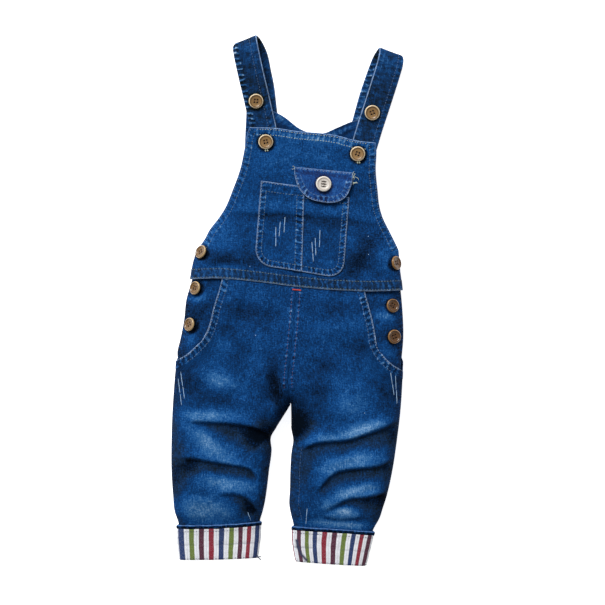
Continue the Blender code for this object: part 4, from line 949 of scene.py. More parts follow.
def striped_finish():
    """White cotton with navy, green, maroon and red stripes in turn, and a fine grey line in each white gap;
    painted shade darkens it where the cuff is creased.
    """
    finish = Finish("striped_cotton", 0.78, 0.2)
    cut = finish.cut()
    across = finish.split(cut)
    wobble = finish.noise(finish.stretched(cut, 0.4, 1.0), 300.0, 2.0)
    place = across / (STRIPE_PITCH * MM) + wobble * 0.012
    from_middle = place.math("FRACT", place) - 0.5
    from_middle = from_middle.math("ABSOLUTE", from_middle)
    half = STRIPE_WIDTH / STRIPE_PITCH / 2
    stripe = 1.0 - from_middle.eased(half - 0.025, half + 0.025)
    turn = place.math("FRACT", place * 0.25)
    navy, green, maroon, red = shade(22, 46, 94), shade(96, 114, 46), shade(74, 26, 48), shade(128, 24, 44)
    hue = finish.ramp(turn, [(0.0, navy), (0.25, green), (0.5, maroon), (0.75, red)], "CONSTANT")
    slubs = finish.noise(finish.stretched(cut, 1.0, 0.3), 1500.0, 2.0)
    weave = finish.noise(cut, 2200.0, 1.0)
    flecks = slubs * 0.8 + weave * 0.8 + finish.noise(cut, 800.0, 2.0) * 0.7
    hue = finish.mixed(flecks.eased(-0.2, 1.1) * 0.34, hue, shade(190, 190, 200))
    ground = finish.mixed(flecks.eased(-0.9, 0.8), shade(190, 193, 203), shade(236, 237, 241))
    pin = (1.0 - (0.5 - from_middle).eased(0.018, 0.05)) * (0.30 + slubs * 0.15)
    colour = finish.mixed(stripe, finish.mixed(pin, ground, shade(132, 139, 152)), hue)
    # painted shade along the cuff's crease and soft fold
    shadow = (finish.painted("wash") * 0.42).eased(0.0, 1.0)
    finish.give("Base Color", finish.mixed(shadow, colour, shade(52, 56, 80)))
    fine = (across / 0.0007).wave() + (across.output("Y") / 0.0007).wave()
    finish.bumps(fine * 0.15 + slubs * 0.4 + weave * 0.3, 0.00022)
    return finish.material


def thread_finish(name, colour, lighter):
    """Twisted sewing thread: two tones in short slanted streaks."""
    finish = Finish(name + "_thread", 0.6, 0.25)
    place = finish.place()
    streaks = finish.noise(place, 2600.0, 2.0)
    tone = finish.mixed(streaks.eased(-0.6, 0.7), shade(*colour), shade(*lighter))
    broad = finish.noise(place, 140.0, 1.0).eased(-0.7, 0.6) * 0.5
    finish.give("Base Color", finish.mixed(broad, tone, shade(*colour)))
    finish.bumps(streaks, 0.00012)
    return finish.material


def button_finish(name, rim, dish, vein, hole):
    """Turned coconut shell: a pale rim round a darker dish, with long uneven veins, a thin ring of painted shade
    where a groove runs inside the rim, and a darker middle; the holes take their own colour, near black on the
    brown shells as painted shade down in them.
    """
    finish = Finish(name + "_shell", 0.36, 0.42)
    finish.give("Coat Weight", 0.18)
    finish.give("Coat Roughness", 0.25)
    place = finish.place()
    veins = finish.noise(finish.stretched(place, 1.0, 0.3), 720.0, 3.0, 0.65)
    clouds = finish.noise(place, 260.0, 2.0)
    radius = finish.painted("radius")
    on_rim = radius.eased(0.84, 0.91) * (0.9 + clouds * 0.2)
    colour = finish.mixed(on_rim, shade(*dish), shade(*rim))
    colour = finish.mixed(veins.eased(0.0, 0.8) * (0.8 - on_rim * 0.4), colour, shade(*vein))
    # a thin ring inside the rim painted dark as a groove's shade, and a darker middle
    colour = finish.mixed((radius - 0.78).bell(0.06) * 0.85 + (radius - 0.25).bell(0.2) * 0.35, colour, shade(*vein))
    # the holes' pits in their own colour: near black on the brown shells, as painted shade down in them
    finish.give("Base Color", finish.mixed(finish.painted("hollow"), colour, shade(*hole)))
    finish.give("Roughness", 0.34 + veins * 0.08 + clouds * 0.05)
    finish.bumps(veins * 0.4 + clouds * 0.4, 0.00008)
    return finish.material


DENIM, STRIPES = denim_finish(), striped_finish()
# Each thread's two tones, and each shell's rim, dish, veins and holes.
THREADS = {
    "tan": ((104, 126, 134), (152, 168, 166)),
    "pale": ((136, 158, 188), (192, 204, 216)),
    "blue": ((84, 110, 148), (140, 162, 192)),
    "russet": ((92, 76, 116), (146, 128, 156)),
    "red": ((196, 64, 60), (232, 116, 104)),
    "navy": ((32, 40, 66), (64, 74, 104)),
    "umber": ((92, 62, 50), (148, 116, 98)),
    "dark": ((40, 30, 30), (70, 58, 56)),
    "chalk": ((126, 164, 204), (190, 212, 232)),
    "cream": ((194, 206, 182), (232, 238, 222)),
}
THREADS = {name: thread_finish(name, *tones) for name, tones in THREADS.items()}
SHELLS = {
    "brown": ((218, 200, 166), (140, 108, 66), (74, 48, 24), (20, 11, 9)),
    "orange": ((178, 152, 110), (112, 82, 44), (70, 46, 22), (20, 12, 10)),
    "dark": ((132, 96, 52), (92, 60, 30), (48, 30, 14), (14, 8, 6)),
    "pale": ((224, 220, 210), (206, 200, 192), (164, 150, 140), (196, 188, 180)),
}
SHELLS = {name: button_finish(name, *tones) for name, tones in SHELLS.items()}


# Meshes


def mesh_piece(name, points, faces, finish, slot="denim"):
    """A smooth-shaded piece from points and a list of arrays of faces."""
    mesh = bpy.data.meshes.new(name)
    spots = (np.asarray(points) + (MOVED_X, MOVED_Y, 0)) * MM
    mesh.from_pydata(spots.tolist(), [], [face for group in faces for face in group.tolist()])
    mesh.materials.append(finish)
    mesh.shade_smooth()
    piece = bpy.data.objects.new(name, mesh)
    bpy.context.scene.collection.objects.link(piece)
    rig.ride(piece, "root")
    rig.slot(piece, slot)
    return piece


def paint(piece, name, values):
    """Puts numbers, or sets of three, on a piece's points for its material to read."""
    kind, field = ("FLOAT", "value") if values.ndim == 1 else ("FLOAT_VECTOR", "vector")
    layer = piece.data.attributes.new(name, kind, "POINT")
    layer.data.foreach_set(field, values.astype(np.float32).ravel())


def cloth_wall(node, points, out, low, high, wash=0.0, tint=0.0, found=None, finish=DENIM, slot="denim",
               ring=False, stripes=None, lined=True):
    """A closed wall for a node, from low to high above a grid of points along the directions out, with bulging
    rims.  A ring's last column meets its first.  The UV map "cut" is the distance along the cloth, in metres;
    stripes gives it for each column of a ring instead.  A lined wall's lower side has its inside's colour."""
    rows, columns = points.shape[:2]
    low, high = (np.broadcast_to(np.asarray(value, float), (rows, columns)) for value in (low, high))
    outer, inner = points + out * high[..., None], points + out * low[..., None]
    count, wide = rows * columns, columns + ring
    # numbers of the grid's points, and of the same places on the map, which isn't closed round a ring
    on_map = np.arange(rows * wide).reshape(rows, wide)
    both = joined(on_map // wide * columns + on_map % wide % columns, on_map)
    square = np.stack([both[:-1, :-1], both[:-1, 1:], both[1:, 1:], both[1:, :-1]], axis=-2).reshape(-1, 4, 2)
    if ring:
        edges = [both[0], both[-1, ::-1]]
    else:
        edges = [np.concatenate([both[0, :-1], both[:-1, -1], both[-1, :0:-1], both[:0:-1, 0], both[0, :1]])]
    faces = [square[..., 0], square[:, ::-1, 0] + count]
    maps = [square[..., 1], square[:, ::-1, 1]]
    mesh_points, picked, first = [outer.reshape(-1, 3), inner.reshape(-1, 3)], [np.arange(count)] * 2, 2 * count
    for edge in edges:
        (here, map_here), (ahead, map_ahead) = edge[:-1].T, edge[1:].T
        line, away, top, under = (values.reshape(-1, 3)[here] for values in (points, out, outer, inner))
        outwards = unit(np.cross(np.roll(line, -1, axis=0) - np.roll(line, 1, axis=0), away) + 1e-9)
        thick = (high - low).reshape(-1)[here][:, None]
        mesh_points.append((top + under) / 2 + outwards * thick * RIM_BULGE)
        picked.append(here)
        rim = first + np.arange(len(here))
        after = np.roll(rim, -1)
        faces += [joined(rim, after, ahead, here), joined(here + count, ahead + count, after, rim)]
        maps += [joined(map_here, map_ahead, map_ahead, map_here)] * 2
        first += len(here)
    piece = mesh_piece(node + "_cloth", np.concatenate(mesh_points), faces, finish, slot)

    closed = np.concatenate([points, points[:, :1]], axis=1) if ring else points
    u, v = arcs(closed, 1), arcs(closed, 0)
    if stripes is None:
        middle = wide // 2
        u = u - u[:, middle, None] + closed[:, middle, :1]
        v = v + closed[0, middle, 1]
    else:
        u = stripes + 0 * u
    spots = (joined(u, v) * MM).reshape(-1, 2)
    layer = piece.data.uv_layers.new(name="cut")
    layer.data.foreach_set("uv", spots[np.concatenate(maps).ravel()].astype(np.float32).ravel())

    picked = np.concatenate(picked)
    found = (hem_map(points[..., 0], points[..., 1]) if found is None else found).reshape(-1, 5)[picked]
    wash, tint = (np.broadcast_to(value, (rows, columns)).reshape(-1)[picked] for value in (wash, tint))
    inside = np.zeros(first)
    inside[count : 2 * count] = lined
    for name, values in (("seam", found[:, :3]), ("worn", found[:, 3]), ("pull", found[:, 4]), ("wash", wash),
                         ("tint", tint), ("inside", inside)):
        paint(piece, name, values)
    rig.replaces(piece, node)


def tube_faces(rings, sides, first=0):
    """Faces of a tube whose points are numbered ring by ring from first, then the middles of its two ends."""
    i, k = np.meshgrid(np.arange(rings - 1) * sides, np.arange(sides), indexing="ij")
    after = (k + 1) % sides
    walls = joined(i + k, i + after, i + sides + after, i + sides + k).reshape(-1, 4)
    k, after, last = k[0], after[0], (rings - 1) * sides
    ends = np.concatenate([joined(rings * sides, after, k), joined(rings * sides + 1, last + k, last + after)])
    return [walls + first, ends + first]


# Threads


def at_places(at, along, values):
    """A line's points or directions, at distances along it."""
    return joined(*(np.interp(at, along, part) for part in values.T))


def on_face(face, line):
    """A line in plan, laid on a face at steps of about 1 mm: its points and the directions out of the face."""
    along = arcs(line, 0)
    at = np.linspace(0, along[-1], max(int(along[-1]), 3))
    return face(*at_places(at, along, line).T)


def lifted(runs, by=STITCH_LIFT):
    return [(points + out * by, out) for points, out in runs]


def rows_on(face, lines, by=STITCH_LIFT):
    """Lines in plan as runs of points on a face, lifted a little."""
    return lifted([on_face(face, line) for line in lines], by)


def stitched(name, runs, thread, seed, length=STITCH, gap=STITCH_GAP, thick=THREAD):
    """Stitches along runs of points, as one piece.  Each is a spindle: two tips that dip into the cloth, and
    three rings of five points between them, of which the middle one is the widest and stands highest."""
    rng = np.random.default_rng(seed)
    rows = []
    for points, out in runs:
        along = arcs(points, 0)
        count = max(int(along[-1] / (length + gap)), 1)
        at = (np.arange(count) + 0.5) * along[-1] / count + rng.uniform(-0.12, 0.12, count)
        before, spot, after = (at_places(at + by, along, points) for by in (-1, 0, 1))
        rows.append((spot, unit(after - before), at_places(at, along, out)))
    centre, ahead, out = (np.concatenate(group) for group in zip(*rows))
    side = unit(np.cross(out, ahead))
    up = np.cross(ahead, side)
    shape = [(-0.5, 0.0, -0.12)]
    for along, size in ((-0.28, 0.8), (0.0, 1.0), (0.28, 0.8)):
        turn = np.arange(5) * 2 * np.pi / 5
        shape += [(along, size * math.cos(t) / 2, size * (0.12 + math.sin(t) / 2)) for t in turn]
    shape = np.array(shape + [(0.5, 0.0, -0.12)]) * (1, thick, thick)
    lengths = length * rng.uniform(0.9, 1.06, (len(centre), 1, 1))
    points = centre[:, None] + ahead[:, None] * shape[:, :1] * lengths
    points = points + side[:, None] * shape[:, 1:2] + up[:, None] * shape[:, 2:]
    k = np.arange(5)
    after = (k + 1) % 5
    tips = np.concatenate([joined(0, 1 + k, 1 + after), joined(16, 11 + after, 11 + k)])
    rounds = np.concatenate([joined(r + k, r + 5 + k, r + 5 + after, r + after) for r in (1, 6)])
    base = np.arange(len(centre))[:, None, None] * len(shape)
    mesh_piece(name, points.reshape(-1, 3), [(tips + base).reshape(-1, 3), (rounds + base).reshape(-1, 4)],
               THREADS[thread])


def thread_ends(name, paths, thread, thick):
    """Loose ends of thread as one piece: a round section carried along each path and drawn to a point at both
    ends."""
    points, faces, first = [], [], 0
    turn = np.arange(THREAD_SIDES) * 2 * np.pi / THREAD_SIDES
    for path in paths:
        line = curved(path)
        ahead = unit(np.gradient(line, axis=0))
        side = unit(np.cross(ahead, (0.3, 0.2, 1.0)))
        up = np.cross(side, ahead)
        radius = thick / 2 * np.sqrt(np.clip(1.02 - np.linspace(-1, 1, len(line)) ** 4, 0, 1))
        ring = side[:, None] * np.cos(turn)[:, None] + up[:, None] * np.sin(turn)[:, None]
        points += [(line[:, None] + ring * radius[:, None, None]).reshape(-1, 3), line[:1], line[-1:]]
        faces += tube_faces(len(line), THREAD_SIDES, first)
        first += len(line) * THREAD_SIDES + 2
    mesh_piece(name, np.concatenate(points), faces, THREADS[thread])


# Cloth pieces


def painted_button_shadow(x, y, spots):
    """Painted shadow on the cloth beneath and close round the buttons, as a share."""
    total = np.zeros(np.shape(x))
    for middle_x, middle_y, size in spots:
        away = np.hypot(x - middle_x - 0.3, y - middle_y + 0.6)
        total = np.maximum(total, ease((size / 2 + (2.0 if abs(middle_x) > 95 else 3.8) - away) / 2.6))
    return total


def front_wash_and_shade(x, y):
    """The front's fades with painted light and shade: the legs' crests rubbed pale and painted lit, their hollows
    left dark and painted shaded, painted shade along the rounded side edges, and painted shadows round the buttons.
    """
    # the crests' wear, with painted highlight above each break and painted shade below it
    fold_wear_and_light = crests(x, y, "up", "down", "glow", "shade")
    inwards = edge_distance(x, y, outer_right, outer_left)
    # painted shade where the cloth rounds down at its side edges
    sides = 0.30 * (1 - ease(inwards / 16)) * ease((40 - y) / 40)
    # painted shadows round the buttons
    shaded = painted_button_shadow(x, y, [(spot.x, spot.y, spot.size) for spot in BUTTONS])
    uneven = 0.06 * waves(x, y, 30, 31) + 0.05 * waves(x, y, 13, 32)
    return patches(FADES, x, y) + fold_wear_and_light - sides - 0.7 * shaded + uneven


def back_wash(x, y):
    return patches(BACK_FADES, x, y) + 0.05 * waves(x, y, 34, 33) + 0.04 * waves(x, y, 13, 34)


def hemmed_face(surface, hems=(), lift=0.0):
    """A face that stands by lift, and by its hems' rise, over a surface; lift may be a function of x and y."""

    def face(x, y):
        points, out = surface(x, y)
        rise = (lift(x, y) if callable(lift) else lift) + hem_rise(hem_map(x, y, hems))
        return points + out * rise[..., None], out

    return face


def front_strip(y_from, y_to, columns, rows):
    """Points across the whole front between two lines, lapped at both sides, the directions out, x and y."""
    right, left = lambda y: outer_right(y) + NEAR_EDGE, lambda y: outer_left(y) - NEAR_EDGE
    x, y = plan_grid(right, left, y_from, y_to, columns, rows)
    points, out = lapped(*on_front(x, y), y)
    return points, out, points[..., 0], points[..., 1]


def make_bib():
    """One sheet from the waist seam to the bib's top, with the armholes as its sides."""
    points, out, x, y = front_strip(above_waist, partial(y_across, BIB_TOP), 126, 116)
    found = hem_map(x, y, BIB_HEMS)
    cloth_wall("bib", points, out, -CLOTH, hem_rise(found), front_wash_and_shade(x, y), found=found)


def make_waistband():
    """A strip over the waist seam."""
    half = WAISTBAND_WIDTH / 2
    points, out, x, y = front_strip(lambda x: waist(x) - half, lambda x: waist(x) + half, 150, 14)
    crown = 0.25 * np.sin(np.pi * np.linspace(0, 1, len(x)))[:, None]
    share = ease(np.minimum(x - outer_right(y), outer_left(y) - x) / 8)
    low = BAND_END_GAP + (GAP - BAND_END_GAP) * share
    high = low + BAND_END_CLOTH + (CLOTH - BAND_END_CLOTH + crown) * share
    wash = front_wash_and_shade(x, y) * 0.6 - 0.18
    cloth_wall("waistband", points, out, low, high, wash, AGED, hem_map(x, y, WAIST_HEMS))


def from_right(leg, outer, inner):
    """A leg's outer and inner edge, in order towards +X."""
    return (outer, inner) if leg.sign < 0 else (inner, outer)


def leg_grid(leg, columns, rows, outer, top, level_y=None, level_rows=0, backwards=False):
    """A leg's points from its end inside the cuff to its top, with columns to +X, or to -X if backwards."""

    def inner(y):
        seam = np.where(y > CROTCH_Y, x_along(CENTRE_SEAM, y), x_along(leg.inseam, y))
        return seam + leg.sign * np.where(y > CROTCH_Y - 1, HALF_GAP, 0)

    edges = from_right(leg, outer, inner)[:: -1 if backwards else 1]
    hem = [Station(row.y + LEG_SHORT_OF_CUFF, row.x) for row in leg.cuff_bottom]
    return plan_grid(*edges, partial(y_across, hem), top, columns, rows, level_y, level_rows)


def leg_hems(leg):
    """The pocket's mouth, the centre seam's two rows and the inseam."""
    mouth = sampled(leg.mouth, leg.mouth[0].y, 30.0)
    fly = moved(sampled(CENTRE_SEAM, -104.0, 16.0), leg.sign * -FLY_ROWS)
    inseam_pull = 0.0 if leg.sign < 0 else 0.2
    return table(Hem, (mouth, 8.6, 1.0, 1.0), (fly, 1.6, 0.0, 0.8),
                 (sampled(leg.inseam, -300.0, -160.0), 11.0, 0.0, inseam_pull))


def make_front_leg(leg):
    """From the hem to the waist, with the pocket's mouth as the outer part of its top."""
    mouth = sorted(leg.mouth, key=lambda station: station.x)
    x, y = leg_grid(
        leg, 104, 206, partial(x_along, leg.outer), lambda x: np.minimum(y_across(mouth, x), below_waist(x)),
        leg.mouth[0].y - MOUTH_ROOM, 142,
    )
    found = hem_map(x, y, leg_hems(leg))
    wash = front_wash_and_shade(x, y)
    tint = AGED * ease((AGED_BELOW - y) / 10) * ease(-wash / 0.25) * (1 - ease((-wash - 0.4) / 0.2))
    cloth_wall("front_leg_" + leg.side, *on_front(x, y), -CLOTH, hem_rise(found), wash, tint, found)


def make_back_leg(leg):
    """From the centre back seam and inseam out to the side seam, flat where it rests."""
    x, y = leg_grid(leg, 56, 110, back_right if leg.sign < 0 else back_left, below_waist, backwards=True)
    found = hem_map(x, y, [Hem(sampled(CENTRE_SEAM, -110.0, 16.0), BACK_SEAM_ROWS, 0.0, 0.6)])
    cloth_wall("back_leg_" + leg.side, *on_back(x, y), -CLOTH, 0.0, back_wash(x, y), found=found)


def make_hip_facing(leg):
    """The panel behind the pocket's mouth: the front's own points, one layer further in."""
    foot = leg.mouth[0].y
    edges = from_right(
        leg,
        lambda y: x_along(leg.outer, y) - leg.sign * NEAR_EDGE,
        lambda y: x_along(leg.mouth, np.maximum(y, foot + 12)) - leg.sign * FACING_UNDER,
    )
    x, y = plan_grid(*edges, lambda x: foot - FACING_BELOW + 0 * x, below_waist, 40, 60)
    points, out = lapped(*on_front(x, y), y, [leg.sign])
    x, y = points[..., 0], points[..., 1]
    hem = Hem(moved(sampled(leg.outer, foot - 2, 20.0), leg.sign * 0.5), 6.0, 0.0, 0.4)
    wash = front_wash_and_shade(x, y) - 0.13 + 0.04 * leg.sign
    outer = -CLOTH - FACING_GAP
    name = "hip_facing_" + leg.side
    cloth_wall(name, points, out, outer - CLOTH, outer, wash, found=hem_map(x, y, [hem]))


def cuff_rings(leg, low, high, rows):
    """A ring of points round the leg's end, its front from -X to +X and its back the other way."""
    edges = from_right(leg, partial(x_along, leg.outer), partial(x_along, leg.inseam))
    front, front_out = on_front(*plan_grid(*edges, low, high, 88, rows))
    back, back_out = on_back(*plan_grid(*edges[::-1], low, high, 56, rows))
    return np.concatenate([front, back[:, 1:-1]], axis=1), np.concatenate([front_out, back_out[:, 1:-1]], axis=1)


def facing_rings(leg, rows):
    """The rings of a cuff's striped facing, from its lower end to its denim edge."""
    edge = CUFF_EDGE_WIDTH + GAP
    return cuff_rings(leg, partial(y_across, leg.cuff_bottom), lambda x: y_across(leg.cuff_top, x) - edge, rows)


def stripe_places(leg, x, z):
    """Distance along the striped facing at each point round a ring: the front's stripes crowd towards both
    sides, the steep sides add the way that they climb or drop, and the back's mirror the front's."""
    lay = STRIPE_LAYS[leg.side]
    off = 2 * (x - x.min()) / np.ptp(x) - 1 - lay.middle
    place = lay.first + lay.count * off * (1 + np.where(off < 0, lay.low, lay.high) * off**2)
    far = np.argmax(x)
    place[far + 1 :] = 2 * place[far] - place[far + 1 :]
    climb, level = np.abs(np.diff(z, prepend=z[0])), np.abs(np.diff(x, prepend=x[0]))
    travel = np.cumsum(np.where(climb > level, climb, 0))
    return place * STRIPE_PITCH + np.sign(lay.count) * (travel - travel[far // 2])


def cuff_wall(name, leg, ring, out, flare, soft, **looks):
    """A ring's wall, which stands off the leg by flare, less where it faces down, and is soft thicker."""
    x, y = ring[..., 0], ring[..., 1]
    low = GAP + CUFF_FLARE * flare * (1 + np.minimum(out[..., 2], 0))
    high = low + CUFF_CLOTH + soft + 0.22 * waves(x, y * 2, 16, 41 + leg.sign)
    cloth_wall(name + leg.side, ring, out, low, high, ring=True, **looks)


def make_cuff(leg):
    """The turned-up hem's striped facing, creased across its middle, with painted shade along the crease and
    along the soft fold at the left cuff's corner.
    """
    ring, out = facing_rings(leg, CUFF_ROWS)
    x, y, share = ring[..., 0], ring[..., 1], np.linspace(0, 1, CUFF_ROWS)[:, None]
    # the crease dips the facing's thickness and is painted as shade on the stripes
    crease = bell(share - 0.48 - 0.02 * waves(x, y, 30, 45), 0.022) * ease(waves(x, y * 0, 60, 46) + 0.9)
    soft = 0.25 * np.sin(np.pi * share) - 0.45 * crease
    if leg.side == "left":
        # a line of painted shade along the soft fold at the corner
        crease = crease + 2.4 * bell(to_line(x, y, CUFF_CURL)[0], 1.6) * (out[..., 2] > 0)
    middle = ring[CUFF_ROWS // 2]
    places = stripe_places(leg, *np.concatenate([middle, middle[:1]])[:, (0, 2)].T)
    cuff_wall("cuff_", leg, ring, out, share, soft, wash=crease, finish=STRIPES, slot="striped_cotton",
              stripes=places)


def make_cuff_edge(leg):
    """The denim edge above the striped facing: paler to its worn top edge, which also has painted light, and
    darker below in painted shade.
    """
    top = partial(y_across, leg.cuff_top)
    ring, out = cuff_rings(leg, lambda x: top(x) - CUFF_EDGE_WIDTH, top, CUFF_EDGE_ROWS)
    x, y, share = ring[..., 0], ring[..., 1], np.linspace(0, 1, CUFF_EDGE_ROWS)[:, None]
    found = joined(x, top(x) - y + 0.4, 3.4, 0.3, 0.3)
    # paler to the top, as wear and painted light, and darker below, as painted shade
    wash = 0.86 * ease((share - 0.66) / 0.24) - 0.62 + 0.1 * waves(x, y, 6, 47)
    cuff_wall("cuff_edge_", leg, ring, out, 1.0, 0.3 * np.sin(np.pi * share), wash=wash, found=found)


def make_back_panel():
    """The back from the waist seam to the neckline, lying on the surface and on the straps' roots."""
    x, y = plan_grid(back_left, back_right, above_waist, partial(y_across, NECKLINE), 84, 76)
    found = hem_map(x, y, BACK_HEMS)
    low = -CLOTH - hem_rise(found) * 0.6
    cloth_wall("back_panel", *on_back(x, y), low, 0.0, back_wash(x, y), found=found)


def strap_points(strap, along, across):
    """Points on a strap's middle: along counts its rows, across runs from -1 to 1 over its width."""
    x, y, z, turn = (through(column(strap.rows, name), along) for name in StrapSection._fields)
    corner = np.where(across * strap.sign > 0, strap.corner, 0.0)
    half = STRAP_WIDTH / 2 * across * (1 - corner * np.abs(across) ** 3 * bell(along - FOLD_ROW, 0.5))
    turn = np.radians(turn)
    return joined(x + half * np.cos(turn), y + half * np.sin(turn), np.maximum(z, DOUBLE_CLOTH / 2))


def make_strap(strap):
    """Two layers of cloth swept along the strap's middle line.  Its inner edge is worn pale, its outer edge
    puckered; where it turns down behind itself it is painted dark as the shade inside the fold's loop, and round
    its button lies the button's painted shadow."""
    along, across = np.meshgrid(np.linspace(0, len(strap.rows) - 1, 170), 2 * spread(26) - 1, indexing="ij")
    middle = strap_points(strap, along, across)
    x, y = middle[..., 0], middle[..., 1]
    run = arcs(middle, 0)[:, 13:14] + np.where(across > 0, 2.4, 0.0)
    outer_side = across * strap.sign > 0
    behind = ease((along - FOLD_ROW + 0.1) / 1.0)
    worn = np.where(outer_side, 0.1, 1.15 - 0.95 * behind)
    pull = np.where(outer_side, strap.edge_pull, strap.seam_pull + (strap.back_pull - strap.seam_pull) * behind)
    found = joined(run, (1 - np.abs(across)) * STRAP_WIDTH / 2, 6.4, worn, pull)
    half = DOUBLE_CLOTH / 2 + hem_rise(found) * 0.5
    wash = 0.12 * waves(x, y, 20, 51) + 0.16 * waves(x, y, 7, 52) - 0.13
    wash += strap.streaks * waves(x * 0.4, y * 1.5, 7, 53)
    wash += 0.18 * bell(along - 6.6, 1.0) - 0.16 * bell(along - 4.6, 0.9)
    # painted shade inside the fold's loop where the strap turns down behind itself, and paler towards the root
    wash += behind * (strap.paler * ease((along - 10.6) / 1.5) - 0.66 * ease((12.2 - along) / 2.2))
    button_x, button_y, _ = strap_points(strap, np.array(strap.button.along), np.array(strap.button.across))
    # the strap button's painted shadow
    wash -= 0.6 * (1 - behind) * painted_button_shadow(x, y, [(button_x, button_y, strap.button.size)])
    name = "strap_" + strap.side
    cloth_wall(name, middle, grid_normals(middle), -half, half, wash, AGED, found, lined=False)


def in_axes(axes, across, down):
    """Points across and down from a corner, in axes tilted below +X and leaning from -Y towards -X."""
    tilt, lean = math.radians(axes.tilt), math.radians(axes.lean)
    x = axes.x + across * math.cos(tilt) - down * math.sin(lean)
    return joined(x, axes.y - across * math.sin(tilt) - down * math.cos(lean))


def pocket_foot(across):
    """The pocket's depth at a place across it, with a round corner at each side."""
    from_side = np.minimum(across, POCKET_WIDTH - across)
    in_corner = np.clip(1 - from_side / POCKET_ROUND, 0, 1)
    slope = POCKET_DEEPER * across / POCKET_WIDTH
    return POCKET_DEPTH + slope - POCKET_ROUND * (1 - np.sqrt(1 - in_corner**2))


def pocket_drift(down):
    return POCKET_LAP_DRIFT * down / POCKET_DEPTH


def pocket_lift(across, down):
    return GAP + (CLOTH + GAP) * ease((across - pocket_drift(down) - POCKET_LAP_FROM + 10) / 8)


def flap_depth(across):
    """A half-round flap."""
    from_middle = np.minimum(np.abs(1 - 2 * across / FLAP_WIDTH), 1)
    return 2 + (FLAP_DEPTH - 2) * (1 - from_middle**2.6) ** (1 / 2.2)


def flap_lift(down):
    return GAP + (FLAP_LIFT - GAP) * ease(down / FLAP_LIFT_OVER)


def flap_lift_at(x, y):
    across = (x - FLAP_AXES.x) / math.cos(math.radians(FLAP_AXES.tilt))
    return flap_lift(FLAP_AXES.y - across * math.sin(math.radians(FLAP_AXES.tilt)) - y)


def pocket_line(inset, top_right, top_left):
    """The pocket's outline, moved in: from its right top corner down, round the foot and up to its left top."""
    corner, side = np.linspace(0, np.pi / 2, 14), np.linspace(0, 1, 20)
    radius = POCKET_ROUND - inset
    right, left = inset, POCKET_WIDTH - inset
    across = [right + 0 * side, right + radius * (1 - np.cos(corner))]
    across += [np.linspace(right + radius, left - radius, 20)[1:-1]]
    across += [left - radius * (1 - np.sin(corner)), left + 0 * side]
    low = [POCKET_DEPTH - inset + POCKET_DEEPER * part / POCKET_WIDTH for part in across]
    down = [top_right + (low[0] - radius - top_right) * side, low[1] - radius * (1 - np.sin(corner)), low[2]]
    down += [low[3] - radius * (1 - np.cos(corner)), low[4] - radius + (top_left - low[4] + radius) * side]
    return in_axes(POCKET_AXES, np.concatenate(across), np.concatenate(down))


def lap_line(inset, top, foot):
    """The right half's lapping edge, moved in."""
    down = np.linspace(top, foot, 40)
    return in_axes(POCKET_AXES, POCKET_LAP_TO - inset + pocket_drift(down), down)


def level_line(axes, down, across_from, across_to, count=30):
    return in_axes(axes, np.linspace(across_from, across_to, count), down)


def flap_line(inset):
    """The flap's round edge, moved in."""
    across = FLAP_WIDTH * (1 - np.cos(np.linspace(0, np.pi, 60))) / 2
    line = in_axes(FLAP_AXES, across, flap_depth(across))
    return moved(line, inset)[3:-3] if inset else line


def patch(node, axes, across, down, lift, hems, wash, tint=0.0):
    """A patch on the front: points across and down in its own axes, raised by lift above the front."""
    x, y = np.moveaxis(in_axes(axes, across, down), -1, 0)
    found = hem_map(x, y, hems)
    wash = front_wash_and_shade(x, y) * 0.8 + wash
    cloth_wall(node, *on_front(x, y), lift, lift + CLOTH + hem_rise(found), wash, tint, found)


def make_bib_pocket():
    """Two halves; the right one laps over the left one's edge, one layer higher."""
    v, u = spread(64)[::-1, None], spread(46)[None, :]
    drift = pocket_drift(POCKET_DEPTH * v)
    across = (POCKET_LAP_TO + drift) * u
    lift = pocket_lift(across, POCKET_DEPTH * v)
    patch("bib_pocket_right", POCKET_AXES, across, pocket_foot(across) * v, lift, POCKET_HEMS[:3], -0.03)
    across = POCKET_LAP_FROM + drift + (POCKET_WIDTH - POCKET_LAP_FROM - drift) * u
    down = POCKET_LEFT_TOP + (pocket_foot(across) - POCKET_LEFT_TOP) * v
    hems = POCKET_HEMS[:1] + POCKET_HEMS[3:]
    patch("bib_pocket_left", POCKET_AXES, across, down, GAP, hems, -0.06)


def make_flap():
    v, u = spread(36)[::-1, None], (1 - np.cos(np.linspace(0, math.pi, 60)))[None, :] / 2
    across = FLAP_WIDTH * u + 0 * v
    down = flap_depth(across) * v
    wash = 0.14 - 0.36 * bell(down - 6.0, 2.4)
    patch("pocket_flap", FLAP_AXES, across, down, flap_lift(down), FLAP_HEMS, wash, -0.09)


BIB_HEMS = table(
    Hem,
    (sampled(ARMHOLE_RIGHT, ARMHOLE_Y, 204.0), 8.6, 0.4, 0.55),
    (sampled(ARMHOLE_LEFT, ARMHOLE_Y, 186.0), 8.6, 0.4, 0.55),
    (across_line(BIB_TOP, -48.0, 104.0), 9.4, 1.0, 0.6),
)
WAIST_HEMS = table(Hem, (across_line(WAIST_LINE, -124.0, 140.0) - (0, WAISTBAND_WIDTH / 2), 12.6, 0.8, 0.65))
BACK_HEMS = table(
    Hem,
    (sampled(BACK_ARMHOLE_RIGHT, ARMHOLE_Y, 226.0), 8.0, 0.8, 0.8),
    (sampled(BACK_ARMHOLE_LEFT, ARMHOLE_Y, 216.0), 8.0, 0.8, 0.8),
    (across_line(NECKLINE, -49.0, 108.0), 9.0, 0.4, 0.5),
    (across_line(WAIST_LINE, -120.0, 134.0), 9.0, 0.0, 0.7),
)
